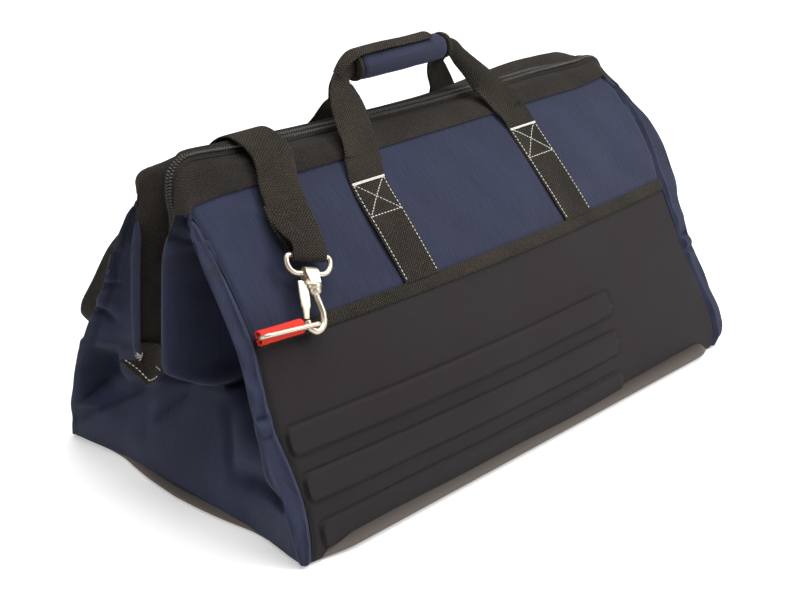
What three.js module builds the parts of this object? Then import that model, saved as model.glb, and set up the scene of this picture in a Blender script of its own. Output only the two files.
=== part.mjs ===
// Tool bag: a zipped holdall of woven cloth with moulded armour panels, webbing handles with a padded
// grip, and a shoulder strap clipped to a ring by a snap hook.
// Millimetres, +X along the bag to its right end, -Y to the front, +Z up. The origin is the middle of
// the base on the ground.
import * as THREE from 'three';

// Body of the bag
const LENGTH = 560;             // base, end to end
const DEPTH = 304;              // base, front to back
const RIDGE_Z = 279;            // height where the two walls would meet the zip
const RIDGE_HALF = 13;          // half depth of the walls at the ridge
const END_BULGE = 14;           // how far the stuffed walls swell at the ends
const MID_BULGE = 14;           // further swell in the middle of the length
const BULGE_RISE = 0.85;        // below 1 the swell sits lower on the wall
const BASE_THICK = 2.4;
const WALL_FOOT = 3.5;          // the walls stand on the base with a small gap
const CLOTH = 1.5;              // woven cloth
const SEAM_GAP = 0.3;           // half the gap between pieces that meet at a seam
const ARMOUR_GAP = 1.2;         // the thick armour stops this far inside its end seams
const LAY_GAP = 0.4;            // gap under a piece that lies on another

// Armour panels, their ribs and the binding along their top edge
const ARMOUR_THICK = 3;
const ARMOUR_TOP = 161.8;
const BINDING_LOW = 155.5;
const BINDING_HIGH = 165.5;
const BINDING_THICK = 1.2;
const RIB_RAISE = 2.2;
const RIB_SLOPE = 3;            // width of a rib's sloping edge
const RIB_LEFT = -262;
const RIB_RIGHT = 111;
const RIBS = table(['low', 'high'], [[8, 28], [44.5, 65], [79.5, 100]]);

// Tape, zip and what closes them
const TAPE_EDGE_Z = 259.8;      // lower edge of the tape on the walls
const TAPE_EDGE_DROP = 5.8;     // how far that edge falls at the end seams
const TAPE_EDGE_RUN = 40;       // length over which it falls
const TAPE_THICK = 1.6;
const TAPE_SWELL = 2.5;
const ZIP_LOW = { x: 90, z: 273, rise: 11, run: 350 };  // where the ridge sags, and its rise to the left
const ZIP_HALF = 4.1;
const ZIP_THICK = 2.2;
const ZIP_PROUD = 1.2;          // the chain stands this far above its tape
const ZIP_GAP = 1.2;

// Webbing
const WEBBING_THICK = 1.8;
const WEBBING_HALF = 19;
const STRAP_HALF = 19.5;

// One row for each level of an end gusset, measured outwards from the middle of the bag.
// The cloth leaves the wall at the seam, rolls round the corner, falls into a valley, comes out to the
// crest of the hanging pleat and goes into the groove that holds the zip's end.
const GUSSET_COLUMNS = ['z', 'seam', 'roll', 'valley', 'valleyY', 'crest', 'crestY', 'groove', 'rise'];
const GUSSET_LEFT = table(GUSSET_COLUMNS, [
  [WALL_FOOT, 279, 4, 282, 85, 284, 40, 285, 0],
  [20, 273, 14, 279, 86, 281, 40, 282, 0],
  [45, 271, 19, 272, 86, 274, 40, 275, 0],
  [70, 273, 20, 262, 84, 264, 36, 265, 0],
  [92, 276, 17, 248, 78, 256, 32, 258, 0],
  [104, 277, 16, 238, 72, 260, 29, 262, 0],
  [112, 276, 15.5, 232, 68, 276, 26, 276, 0],
  [118, 276, 15, 228, 64, 292, 23, 289, 0],
  [126, 275, 15, 224, 60, 303, 21, 297, 0],
  [140, 273, 15, 220, 56, 305, 20, 291, 0],
  [165, 270, 16, 220, 52, 304, 20, 286, 0],
  [190, 271, 16, 226, 47, 302, 20, 283, 0],
  [212, 273, 15, 238, 38, 300, 20, 281.5, 0],
  [232, 275, 13, 258, 31, 296, 20, 280, 4],
  [246, 277.5, 6, 277, 27, 290, 21.5, 278, 12],
  [253, 280, 2.5, 284, 26.5, 287, 23.5, 273, 20],
]);
const GUSSET_RIGHT = table(GUSSET_COLUMNS, [
  [WALL_FOOT, 276, 6, 280, 85, 283, 40, 284, 0],
  [20, 268, 17, 277, 86, 280, 40, 281, 0],
  [45, 262, 17, 268, 86, 272, 40, 273, 0],
  [70, 254, 16, 254, 84, 260, 36, 262, 0],
  [92, 247, 17, 238, 78, 252, 32, 255, 0],
  [104, 245, 17, 228, 72, 256, 29, 258, 0],
  [112, 245, 17, 222, 68, 272, 26, 272, 0],
  [118, 245, 17.5, 218, 64, 288, 23, 285, 0],
  [126, 245, 18, 214, 60, 297, 21, 292, 0],
  [140, 245, 19, 210, 56, 299, 20, 286, 0],
  [165, 245, 26, 208, 52, 299, 20, 281, 0],
  [190, 247, 25, 212, 47, 297, 20, 277, 0],
  [212, 246, 20, 222, 38, 293, 20, 272, 0],
  [232, 241, 12, 234, 31, 284, 20, 266, 4],
  [246, 236, 6, 245, 27, 271, 21.5, 255, 12],
  [253, 232, 3, 245, 26.5, 260, 23.5, 243, 20],
]);
const NOTCH_ROW = 7;            // the groove is open for the zip from this row up
const ENDS = { left: { side: -1, rows: GUSSET_LEFT }, right: { side: 1, rows: GUSSET_RIGHT } };
const RIDGE_LEFT = -258;        // the straight run of the zip
const RIDGE_RIGHT = 216;

// Handle loops, from the left foot over the grip to the right foot. Where y is null the webbing lies on
// the wall.
const HANDLE_COLUMNS = ['x', 'z', 'y', 'half'];
const HANDLE_FRONT = table(HANDLE_COLUMNS, [
  [-99, 172.5, null, WEBBING_HALF], [-105, 207, null, WEBBING_HALF], [-110, 240, null, WEBBING_HALF],
  [-106, 258, null, WEBBING_HALF], [-102, 276, 23, WEBBING_HALF], [-103, 296, 14, 17.5],
  [-103.5, 306, 10, 16], [-102, 315, 7.5, 12.5], [-97, 320, 6, 10], [-89, 320.5, 5.2, 8.2],
  [-76, 320, 4.6, 7.4], [22, 320, 4.6, 7.4], [33, 317.5, 5.2, 7.6], [42, 309, 8, 8.6], [51.5, 297, 14, 10.5],
  [59, 287, 18, 12.8], [70, 272, 26, 15], [81, 258, null, 17], [87, 240, null, 18.5],
  [97, 207, null, WEBBING_HALF], [106, 172.5, null, WEBBING_HALF],
]);
const HANDLE_BACK = table(HANDLE_COLUMNS, [
  [-104, 172.5, null, WEBBING_HALF], [-103, 207, null, WEBBING_HALF], [-100, 240, null, WEBBING_HALF],
  [-96, 258, null, WEBBING_HALF], [-92, 278, 22, 17], [-91, 296, 14, 14], [-96, 309, 9, 10],
  [-90, 319, 5.2, 7.2], [-76, 320, 4.6, 7.2], [23, 320, 4.6, 7.2], [32.5, 318, 5, 7.2], [41, 303, 12, 12],
  [44, 284, 20, 17], [57, 265, 31, WEBBING_HALF], [80, 240, null, WEBBING_HALF],
  [97, 207, null, WEBBING_HALF], [104, 172.5, null, WEBBING_HALF],
]);

// Grip wrapped round both loops
const GRIP = { left: -78, right: 20, z: 320, halfY: 13, halfZ: 12.6, thick: 2.2 };
const GRIP_END = { length: 7, thick: 1.4 };
const GRIP_SEAM_DEG = 10;       // the wrap stays open by this angle under its flap's edge
const GRIP_EDGE_DEG = [42, 126];

// Clasps, each in a frame on the wall: x to the viewer's right, y up the slope, z out of the wall
const CLASP_FRONT = { x: -198, z: 178, side: -1 };
const CLASP_BACK = { x: 166, z: 178, side: 1 };
const CLASP_OUT = 9;            // height of the hook and the ring above the wall
const HOOK = { x: -6.5, y: 27, tilt: -18 };
const LINK = { x: 28, y: -37.6, tilt: 250 };
const LOOP = { half: 19.5, high: 3, low: -11, corner: 3, wire: 2 };
const HOOK_WIRE = 2.3;
const HOOK_KNOB = 5.4;
const EYE = { hole: 2.7, outer: 5.2, foot: -18.6, width: 9 };
const GATE = { x: -6.2, top: -17, tip: -46.6, wide: 3.4, thick: 1.6 };
const RING = { x: -45, y: -19.7, tilt: -5, half: 26, rise: 4.9, wire: 1.8 };
const TAB = { x: -3.5, half: 17.5, rise: 5, reach: 8.2, thick: 1.5, stand: 2 };

// Shoulder strap behind the bag: it twists off the wall near the left end, runs low along the back on
// its edge and climbs to the right clasp. edge turns its width from along the wall (0) to straight out
// of it (90), and lean turns it on from there to up the wall.
const STRAP_CLEAR = 4.2;
const STRAP_BACK = table(['x', 'z', 'edge', 'lean'], [
  [-203, 262, 0, 0], [-207, 236, 0, 0], [-215, 210, 8, 0], [-229, 184, 30, 0], [-247, 158, 62, 0],
  [-259, 132, 84, 0], [-261, 108, 90, 0], [-247, 84, 90, 0], [-205, 66, 90, 0], [-130, 60, 90, 0],
  [-50, 68, 90, 0], [15, 82, 90, 10], [55, 98, 90, 45], [90, 117, 90, 80],
]);
const STRAP_ARCH = table(['x', 'y', 'z'], [
  [-193, -24, 277.5], [-193.5, -8, 287], [-195, 8, 289], [-198, 25, 278],
]);
const STRAP_RETURN = 34;        // length folded back behind the loop
const RETURN_DRIFT = -15;       // how far the front one's end leans to the left
const FOLD_HALF = 15.4;         // the strap bunches a little where it folds round a loop

function table(columns, rows) {
  return rows.map((row) => Object.fromEntries(columns.map((name, i) => [name, row[i]])));
}

const V = (x, y, z) => new THREE.Vector3(x, y, z);
const lerp = THREE.MathUtils.lerp;
const clamp = THREE.MathUtils.clamp;
const rad = THREE.MathUtils.degToRad;

// The swelling walls

function depthAt(x, z) {
  const s = clamp(z / RIDGE_Z, 0, 1);
  const u = clamp(x / (LENGTH / 2), -1, 1);
  const swell = (END_BULGE + MID_BULGE * (1 - u * u)) * Math.sin(Math.PI * s ** BULGE_RISE);
  return lerp(DEPTH / 2, RIDGE_HALF, s) + swell;
}

function wallNormal(x, z, side) {
  const e = 0.5;
  const dx = (depthAt(x + e, z) - depthAt(x - e, z)) / (2 * e);
  const dz = (depthAt(x, z + e) - depthAt(x, z - e)) / (2 * e);
  return V(-dx, side, -dz).normalize();
}

function wallPoint(x, z, side, out = 0) {
  return V(x, side * depthAt(x, z), z).addScaledVector(wallNormal(x, z, side), out);
}

// Where an end seam lies at a height, on straight lines between the levels of its gusset
function seamAt(end, z) {
  const { side, rows } = ENDS[end];
  const next = Math.max(1, rows.findLastIndex((_, i) => i > 0 && rows[i - 1].z < z));
  const [low, high] = [rows[next - 1], rows[next]];
  return side * lerp(low.seam, high.seam, clamp((z - low.z) / (high.z - low.z), 0, 1));
}

// Height of the tape's lower edge on a wall
function tapeEdgeZ(x) {
  const top = GUSSET_LEFT.at(-1).z;
  const near = Math.min(x - seamAt('left', top), seamAt('right', top) - x);
  return TAPE_EDGE_Z - TAPE_EDGE_DROP * clamp(1 - near / TAPE_EDGE_RUN, 0, 1) ** 2;
}

// Height of the zip along the ridge
function zipZ(x) {
  return ZIP_LOW.z + ZIP_LOW.rise * ((x - ZIP_LOW.x) / ZIP_LOW.run) ** 2;
}

// Closed solids from grids of points

// Skin between an outer and an inner grid, without the cells that keep turns down
function skin(outer, inner, keep = () => true) {
  const rows = outer.length;
  const cols = outer[0].length;
  const points = [...outer.flat(), ...inner.flat()];
  const at = (layer, i, j) => layer * rows * cols + i * cols + j;
  const kept = (i, j) => i >= 0 && j >= 0 && i < rows - 1 && j < cols - 1 && keep(i, j);
  const faces = [];
  const quad = (a, b, c, d) => faces.push([a, b, c], [a, c, d]);
  const rim = (i, j, k, l) => quad(at(0, i, j), at(1, i, j), at(1, k, l), at(0, k, l));
  for (let i = 0; i < rows - 1; i += 1) {
    for (let j = 0; j < cols - 1; j += 1) {
      if (!kept(i, j)) continue;
      quad(at(0, i, j), at(0, i + 1, j), at(0, i + 1, j + 1), at(0, i, j + 1));
      quad(at(1, i, j), at(1, i, j + 1), at(1, i + 1, j + 1), at(1, i + 1, j));
      if (!kept(i, j - 1)) rim(i, j, i + 1, j);
      if (!kept(i, j + 1)) rim(i + 1, j + 1, i, j + 1);
      if (!kept(i - 1, j)) rim(i, j + 1, i, j);
      if (!kept(i + 1, j)) rim(i + 1, j, i + 1, j + 1);
    }
  }
  return solid(points, faces);
}

// Geometry of a closed body, with its faces turned outwards and loose points dropped
function solid(points, faces) {
  let volume = 0;
  for (const [a, b, c] of faces) volume += points[a].dot(points[b].clone().cross(points[c]));
  const turned = volume < 0 ? faces.map(([a, b, c]) => [a, c, b]) : faces;
  const used = [...new Set(turned.flat())];
  const place = new Map(used.map((old, fresh) => [old, fresh]));
  const geometry = new THREE.BufferGeometry();
  const flat = used.flatMap((i) => points[i].toArray());
  geometry.setAttribute('position', new THREE.Float32BufferAttribute(flat, 3));
  geometry.setIndex(turned.flat().map((i) => place.get(i)));
  return geometry;
}

// The same grid moved along its own normals, which point to the right of its rows and columns
function shifted(grid, distance) {
  const pick = (i, j) => grid[clamp(i, 0, grid.length - 1)][clamp(j, 0, grid[0].length - 1)];
  return grid.map((row, i) => row.map((point, j) => {
    const along = pick(i + 1, j).clone().sub(pick(i - 1, j));
    const across = pick(i, j + 1).clone().sub(pick(i, j - 1));
    return point.clone().addScaledVector(along.cross(across).normalize(), distance);
  }));
}

// Sheet of cloth whose outer face is the grid. A positive thickness is laid on the right-hand normal.
const sheet = (grid, thick, keep) => skin(grid, shifted(grid, thick), keep);

// Round wire of one or more radii along a flat curve whose plane faces axis
function wire(curve, axis, radius, { sides = 8, steps = 24, closed = false } = {}) {
  const radiusAt = typeof radius === 'function' ? radius : () => radius;
  const count = closed ? steps : steps + 1;
  const points = [];
  for (let i = 0; i < count; i += 1) {
    const t = i / steps;
    const centre = curve.getPointAt(t);
    const inward = curve.getTangentAt(t).cross(axis).normalize();
    for (let k = 0; k < sides; k += 1) {
      const turn = (2 * Math.PI * k) / sides;
      points.push(centre.clone().addScaledVector(inward, radiusAt(t) * Math.cos(turn))
        .addScaledVector(axis, radiusAt(t) * Math.sin(turn)));
    }
  }
  const faces = [];
  const at = (i, k) => (i % count) * sides + (k % sides);
  for (let i = 0; i < steps; i += 1) {
    for (let k = 0; k < sides; k += 1) {
      faces.push([at(i, k), at(i + 1, k), at(i + 1, k + 1)], [at(i, k), at(i + 1, k + 1), at(i, k + 1)]);
    }
  }
  if (!closed) {
    for (let k = 1; k < sides - 1; k += 1) {
      faces.push([at(0, 0), at(0, k), at(0, k + 1)], [at(steps, 0), at(steps, k + 1), at(steps, k)]);
    }
  }
  return solid(points, faces);
}

const curveThrough = (points, closed = false) => new THREE.CatmullRomCurve3(points, closed, 'centripetal');

function spread(from, to, steps) {
  return Array.from({ length: steps + 1 }, (_, i) => lerp(from, to, i / steps));
}

// Materials

const cloth = (color) => new THREE.MeshStandardMaterial({ color, roughness: 0.85, metalness: 0 });
const NAVY = cloth(0x3a4263);
const BLACK_TWILL = cloth(0x38332c);
const WEBBING = cloth(0x3b362f);
const ARMOUR = new THREE.MeshStandardMaterial({ color: 0x3d3a3c, roughness: 0.7, metalness: 0 });
const RED = cloth(0xe23a2c);
const STEEL = new THREE.MeshStandardMaterial({ color: 0xdcd3bd, roughness: 0.35, metalness: 0.9 });

const bag = new THREE.Group();

function add(name, geometry, material, parent = bag) {
  const mesh = new THREE.Mesh(geometry, material);
  mesh.name = name;
  parent.add(mesh);
  return mesh;
}

// Walls: upper panels, armour panels and bindings

function wallPatch(side, heights, columns, raise, thick) {
  const layer = (out) => heights.map((z) => columns(z).map((x) => wallPoint(x, z, side, out(x, z))));
  return skin(layer(raise), layer(() => -thick));
}

function evenColumns(steps, inset) {
  return (z) => spread(seamAt('left', z) + inset, seamAt('right', z) - inset, steps);
}

function upperPanel(side, steps) {
  const low = ARMOUR_TOP + 2 * SEAM_GAP;
  const rows = spread(0, 1, 7).map((v) => {
    const flat = evenColumns(steps, 2 * SEAM_GAP)(lerp(low, TAPE_EDGE_Z - TAPE_EDGE_DROP, v));
    return flat.map((x) => [x, lerp(low, tapeEdgeZ(x) - 3 * SEAM_GAP, v)]);
  });
  const layer = (out) => rows.map((row) => row.map(([x, z]) => wallPoint(x, z, side, out)));
  return skin(layer(0), layer(-CLOTH));
}

function ribRaise(x, z) {
  const inX = x >= RIB_LEFT + RIB_SLOPE && x <= RIB_RIGHT - RIB_SLOPE;
  const inZ = RIBS.some((rib) => z >= rib.low + RIB_SLOPE && z <= rib.high - RIB_SLOPE);
  return inX && inZ ? RIB_RAISE : 0;
}

function ribbedArmour(side) {
  const ribRows = RIBS.flatMap((rib) => [rib.low, rib.low + RIB_SLOPE, rib.high - RIB_SLOPE, rib.high]);
  const heights = [WALL_FOOT, ...ribRows, 120, 141, ARMOUR_TOP];
  const inner = spread(RIB_LEFT + RIB_SLOPE, RIB_RIGHT - RIB_SLOPE, 7);
  const columns = (z) => [seamAt('left', z) + ARMOUR_GAP, RIB_LEFT, ...inner, RIB_RIGHT,
    lerp(RIB_RIGHT, seamAt('right', z), 0.5), seamAt('right', z) - ARMOUR_GAP];
  return wallPatch(side, heights, columns, ribRaise, ARMOUR_THICK);
}

function plainArmour(side) {
  const levels = GUSSET_LEFT.map((row) => row.z).filter((z) => z < ARMOUR_TOP);
  return wallPatch(side, [...levels, ARMOUR_TOP], evenColumns(9, ARMOUR_GAP), () => 0, ARMOUR_THICK);
}

function binding(side) {
  const columns = evenColumns(12, 2);
  const layer = (out) => spread(BINDING_LOW, BINDING_HIGH, 1)
    .map((z) => columns(z).map((x) => wallPoint(x, z, side, out)));
  return skin(layer(LAY_GAP + BINDING_THICK), layer(LAY_GAP));
}

add('front_panel', upperPanel(-1, 14), NAVY);
add('back_panel', upperPanel(1, 10), NAVY);
add('front_armour', ribbedArmour(-1), ARMOUR);
add('back_armour', plainArmour(1), ARMOUR);
add('front_binding', binding(-1), WEBBING);
add('back_binding', binding(1), WEBBING);

// End gussets

// Half a level of a gusset, from its seam on one wall to the middle of the groove
function gussetHalf(end, row, wall) {
  const { side } = ENDS[end];
  const depth = depthAt(row.seam, row.z);
  const span = depth - row.valleyY;
  const corner = [
    [row.seam + SEAM_GAP, depth], [row.seam + row.roll, depth - Math.min(0.08 * span, 1.5)],
    [row.seam + 0.8 * row.roll, depth - 0.38 * span], [row.valley, row.valleyY],
    [row.crest, row.crestY], [row.groove, 0],
  ];
  const curve = curveThrough(corner.map(([x, y]) => V(side * x, wall * y, row.z)));
  const steps = [2, 2, 3, 4, 2];
  const params = steps.flatMap((n, k) => spread(k, k + 1, n).slice(0, n)).concat(steps.length);
  return params.map((p) => curve.getPoint(p / steps.length));
}

function gusset(end) {
  const grid = ENDS[end].rows.map((row) => {
    const front = gussetHalf(end, row, -1);
    const back = gussetHalf(end, row, 1).reverse();
    return [...front, ...back.slice(1)];
  });
  const middle = (grid[0].length - 1) / 2;
  const inGroove = (j) => j >= middle - 2 && j < middle + 2;
  return sheet(grid, ENDS[end].side * CLOTH, (i, j) => i < NOTCH_ROW || !inGroove(j));
}

add('gusset_left', gusset('left'), NAVY);
add('gusset_right', gusset('right'), NAVY);

// Base, cut to the feet of the walls

function baseOutline() {
  const foot = (end, wall) => gussetHalf(end, ENDS[end].rows[0], wall);
  const left = [...foot('left', -1), ...foot('left', 1).reverse().slice(1)];
  const right = [...foot('right', 1), ...foot('right', -1).reverse().slice(1)];
  return [...left, ...right].map((point) => new THREE.Vector2(point.x, point.y));
}

const baseShape = new THREE.Shape(baseOutline());
const baseSlab = new THREE.ExtrudeGeometry(baseShape, { depth: BASE_THICK, bevelEnabled: false });
add('base_panel', baseSlab, BLACK_TWILL);

// Zip and its two tapes, which run along the ridge and down the groove at each end

// Stations from the foot of the left groove over the ridge to the foot of the right groove
function zipStations() {
  const ending = (end) => ENDS[end].rows.slice(NOTCH_ROW + 1).map((row) => ({
    outer: (wall) => V(ENDS[end].side * row.crest, wall * row.crestY, row.z),
    zip: V(ENDS[end].side * row.groove, 0, row.z + row.rise),
  }));
  const ridge = spread(RIDGE_LEFT, RIDGE_RIGHT, 14).map((x) => ({
    outer: (wall) => wallPoint(x, tapeEdgeZ(x), wall, 1),
    zip: V(x, 0, zipZ(x)),
    onRidge: true,
  }));
  return [...ending('left'), ...ridge, ...ending('right').reverse()];
}

const STATIONS = zipStations();
const EDGE_CLEAR = 3;           // the tape stops this far short of the pleat's crest

function tapePoint(station, wall, w) {
  const inner = station.zip.clone().setY(wall * (ZIP_HALF + ZIP_GAP));
  const outer = station.outer(wall);
  const start = station.onRidge ? 0 : EDGE_CLEAR / outer.distanceTo(inner);
  const point = outer.lerp(inner, lerp(start, 1, w));
  if (station.onRidge) point.addScaledVector(V(0, wall, 1), TAPE_SWELL * Math.sin(Math.PI * w));
  return point;
}

function tape(wall) {
  const grid = STATIONS.map((station) => spread(0, 1, 2).map((w) => tapePoint(station, wall, w)));
  return sheet(grid, wall * TAPE_THICK);
}

function zipChain() {
  const grid = STATIONS.map(({ zip }) => [-1, 1].map((wall) => zip.clone().setY(wall * ZIP_HALF)));
  return skin(shifted(grid, -ZIP_PROUD), shifted(grid, ZIP_THICK - ZIP_PROUD));
}

add('front_tape', tape(-1), BLACK_TWILL);
add('back_tape', tape(1), BLACK_TWILL);
add('zip', zipChain(), BLACK_TWILL);

// Tab sewn over the zip's end: it lies in the groove and its free lip spreads out below
const TAB_STAND = 2.4;
const TAB_SPOTS = table(['wall', 'w', 'out', 'down'], [
  [-1, 0.25, 6, 3], [-1, 0.7, 8, 9], [0, 1, 7, 14], [1, 0.7, 11, 8], [1, 0.25, 16, -1],
]);

function zipTab(end) {
  const { side } = ENDS[end];
  const stations = end === 'left' ? STATIONS.slice(0, 2).reverse() : STATIONS.slice(-2);
  const groove = stations.map((station) => TAB_SPOTS.map(({ wall, w }) => {
    const onZip = wall === 0;
    const spot = onZip ? station.zip.clone() : tapePoint(station, wall, w);
    return spot.add(V(side * (onZip ? ZIP_PROUD + LAY_GAP : TAB_STAND), 0, 0));
  }));
  const lip = TAB_SPOTS.map(({ out, down }, k) => groove[1][k].clone().add(V(side * out, 0, -down)));
  return sheet([...groove, lip], side * WEBBING_THICK);
}

add('zip_tab_left', zipTab('left'), WEBBING);
add('zip_tab_right', zipTab('right'), WEBBING);

// Handles

function handle(rows, wall) {
  const lie = LAY_GAP + WEBBING_THICK;
  const over = (z) => lie + 2 * clamp((z - 240) / 18, 0, 1);
  const onWallY = (x, z) => depthAt(x, z) + over(z) / Math.abs(wallNormal(x, z, wall).y);
  const centre = curveThrough(rows.map((row) => V(row.x, wall * (row.y ?? onWallY(row.x, row.z)), row.z)));
  const last = rows.length - 1;
  const grid = spread(0, last, 2 * last).map((p) => {
    const point = centre.getPoint(p / last);
    const tangent = centre.getTangent(p / last);
    const across = V(tangent.z, 0, -tangent.x).normalize();
    const near = rows[Math.floor(p)];
    const next = rows[Math.min(Math.floor(p) + 1, last)];
    const half = lerp(near.half, next.half, p % 1);
    const flat = near.y === null && next.y === null;
    return [-1, 0, 1].map((k) => {
      const spot = point.clone().addScaledVector(across, k * half);
      if (flat) return wallPoint(spot.x, spot.z, wall, over(spot.z));
      const least = spot.z < RIDGE_Z ? onWallY(spot.x, spot.z) : 0;
      return spot.setY(wall * Math.max(Math.abs(spot.y), least));
    });
  });
  return sheet(grid, -wall * WEBBING_THICK);
}

add('handle_front', handle(HANDLE_FRONT, -1), WEBBING);
add('handle_back', handle(HANDLE_BACK, 1), WEBBING);

// Grip: an open wrap, a bound band at each end and the flap's edge over the opening

function sleeve(left, right, grow, fromDeg, toDeg, thick, steps) {
  const ring = (x, more) => spread(fromDeg, toDeg, steps).map((deg) => V(x,
    (GRIP.halfY + more) * Math.cos(rad(deg)), GRIP.z + (GRIP.halfZ + more) * Math.sin(rad(deg))));
  const layer = (more) => spread(left, right, 3).map((x) => ring(x, more));
  return skin(layer(grow), layer(grow - thick));
}

const GRIP_OPEN = 90 + GRIP_SEAM_DEG / 2;
const GRIP_SHUT = 450 - GRIP_SEAM_DEG / 2;
const wrap = (left, right, thick) => sleeve(left, right, 0, GRIP_OPEN, GRIP_SHUT, thick, 18);
const bandLeft = GRIP.left - SEAM_GAP;
const bandRight = GRIP.right + SEAM_GAP;
add('grip', wrap(GRIP.left, GRIP.right, GRIP.thick), NAVY);
add('grip_end_left', wrap(bandLeft - GRIP_END.length, bandLeft, GRIP_END.thick), WEBBING);
add('grip_end_right', wrap(bandRight, bandRight + GRIP_END.length, GRIP_END.thick), WEBBING);
const flapOut = LAY_GAP + WEBBING_THICK;
const flapLeft = GRIP.left - GRIP_END.length;
const flapEdge = sleeve(flapLeft, GRIP.right, flapOut, ...GRIP_EDGE_DEG, WEBBING_THICK, 6);
add('grip_edge', flapEdge, WEBBING);

// Clasps

// Group whose axes lie along the wall, up the wall and out of it
function claspFrame({ x, z, side }) {
  const out = wallNormal(x, z, side);
  const up = V(0, 0, 1).addScaledVector(out, -out.z).normalize();
  const across = up.clone().cross(out);
  const group = new THREE.Group();
  group.applyMatrix4(new THREE.Matrix4().makeBasis(across, up, out).setPosition(wallPoint(x, z, side)));
  bag.add(group);
  return group;
}

function subGroup(parent, x, y, tilt) {
  const group = new THREE.Group();
  group.position.set(x, y, CLASP_OUT);
  group.rotation.z = rad(tilt);
  parent.add(group);
  return group;
}

const OUT = V(0, 0, 1);

// Closed outline with round corners, as a curve in the plane of x and y
function roundedLoop(half, low, high, corner) {
  const cut = 0.29 * corner;
  const bend = (x, y, sx, sy) => [
    V(x, y - sy * corner, 0), V(x - sx * cut, y - sy * cut, 0), V(x - sx * corner, y, 0),
  ];
  const bar = (y) => [-1, 0, 1].map((k) => V(k * 0.5 * half, y, 0));
  return curveThrough([
    ...bend(half, high, 1, 1), ...bar(high).reverse(), ...bend(-half, high, -1, 1).reverse(),
    ...bend(-half, low, -1, -1), ...bar(low), ...bend(half, low, 1, -1).reverse(),
  ], true);
}

// Eye that swivels on the hook and holds the strap's loop
function hookEye() {
  const barY = LOOP.low;
  const shape = new THREE.Shape();
  shape.absarc(0, barY, EYE.outer, 0, Math.PI, false);
  shape.lineTo(-EYE.outer, EYE.foot);
  shape.lineTo(EYE.outer, EYE.foot);
  const hole = new THREE.Path().absarc(0, barY, EYE.hole, 0, 2 * Math.PI, true);
  shape.holes.push(hole);
  const plate = { depth: EYE.width, bevelEnabled: false, curveSegments: 8 };
  const geometry = new THREE.ExtrudeGeometry(shape, plate);
  return geometry.translate(0, 0, -EYE.width / 2).rotateY(Math.PI / 2);
}

// Knob and bent wire of the hook in one piece
function hookBody() {
  const route = curveThrough([
    V(1, EYE.foot - SEAM_GAP, 0), V(1, -24, 0), V(1.6, -29, 0), V(6.5, -35.5, 0), V(9.3, -43, 0),
    V(8, -51, 0), V(2, -55.8, 0), V(-4, -53.5, 0), V(-6.4, GATE.tip - 1, 0),
  ]);
  const radius = (t) => lerp(HOOK_KNOB, HOOK_WIRE, clamp((t - 0.14) / 0.05, 0, 1));
  return wire(route, OUT, radius, { steps: 28 });
}

// Flat lever that closes the hook
function hookGate() {
  const { x, top, tip, wide, thick } = GATE;
  const outline = [
    [x - wide, top], [x - wide, -34], [x - 1.8, tip], [x + 1.4, tip], [x + 2, -34], [x - 0.2, top],
  ];
  const shape = new THREE.Shape(outline.map(([px, py]) => new THREE.Vector2(px, py)));
  const plate = new THREE.ExtrudeGeometry(shape, { depth: thick, bevelEnabled: false });
  return plate.translate(0, 0, -thick / 2);
}

// Long ring lying across the wall, one bar in the tab's fold and one in front of it
function ring() {
  const { half, rise, wire: radius } = RING;
  const bend = (s) => [90, 45, 0, -45, -90].map((deg) => V(
    s * (half - rise + rise * Math.cos(rad(deg))), 0, s * rise * Math.sin(rad(deg)),
  ));
  const route = curveThrough([...bend(1), ...bend(-1)], true);
  return wire(route, V(0, 1, 0), radius, { sides: 6, steps: 24, closed: true });
}

// Webbing folded round the ring's inner bar, open to the wall
function foldedTab() {
  const { x: middle, half, rise, reach, thick, stand } = TAB;
  const back = stand - CLASP_OUT;
  const front = reach - CLASP_OUT;
  const fold = [
    [rise, back], [rise, front - 4], [rise * 0.8, front - 1.4], [rise * 0.4, front],
    [-rise * 0.4, front], [-rise * 0.8, front - 1.4], [-rise, front - 4], [-rise, back],
  ];
  const grid = fold.map(([y, z]) => spread(-half, half, 2).map((x) => V(middle + x, y, z)));
  return sheet(grid, thick);
}

const frontClasp = claspFrame(CLASP_FRONT);
const hook = subGroup(frontClasp, HOOK.x, HOOK.y, HOOK.tilt);
add('hook_loop', wire(roundedLoop(LOOP.half, LOOP.low, LOOP.high, LOOP.corner), OUT, LOOP.wire,
  { sides: 6, steps: 32, closed: true }), STEEL, hook);
add('hook_eye', hookEye(), STEEL, hook);
add('hook_body', hookBody(), STEEL, hook);
add('hook_gate', hookGate(), STEEL, hook);
const frontRing = subGroup(frontClasp, RING.x, RING.y, RING.tilt);
add('ring_front', ring(), STEEL, frontRing);
add('tab_front', foldedTab(), RED, frontRing);

// The hidden clasp at the back: a plain pear-shaped link through the ring and the strap's end
function plainLink() {
  const { half, high } = LOOP;
  const route = [
    V(half, 0, 0), V(half - 2, high, 0), V(0, high, 0), V(2 - half, high, 0), V(-half, 0, 0), V(-12, -22, 0),
    V(-5.4, -46, 0), V(-3, -54, 0), V(2, -55.8, 0), V(7, -54, 0), V(9.4, -46, 0), V(14, -22, 0),
  ];
  return wire(curveThrough(route, true), OUT, LOOP.wire, { sides: 6, steps: 36, closed: true });
}

const backClasp = claspFrame(CLASP_BACK);
const backRing = subGroup(backClasp, RING.x, RING.y, RING.tilt);
add('ring_back', ring(), STEEL, backRing);
add('tab_back', foldedTab(), RED, backRing);
const link = subGroup(backClasp, LINK.x, LINK.y, LINK.tilt);
add('link_back', plainLink(), STEEL, link);

// Shoulder strap, one length of webbing from loop to loop

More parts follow.
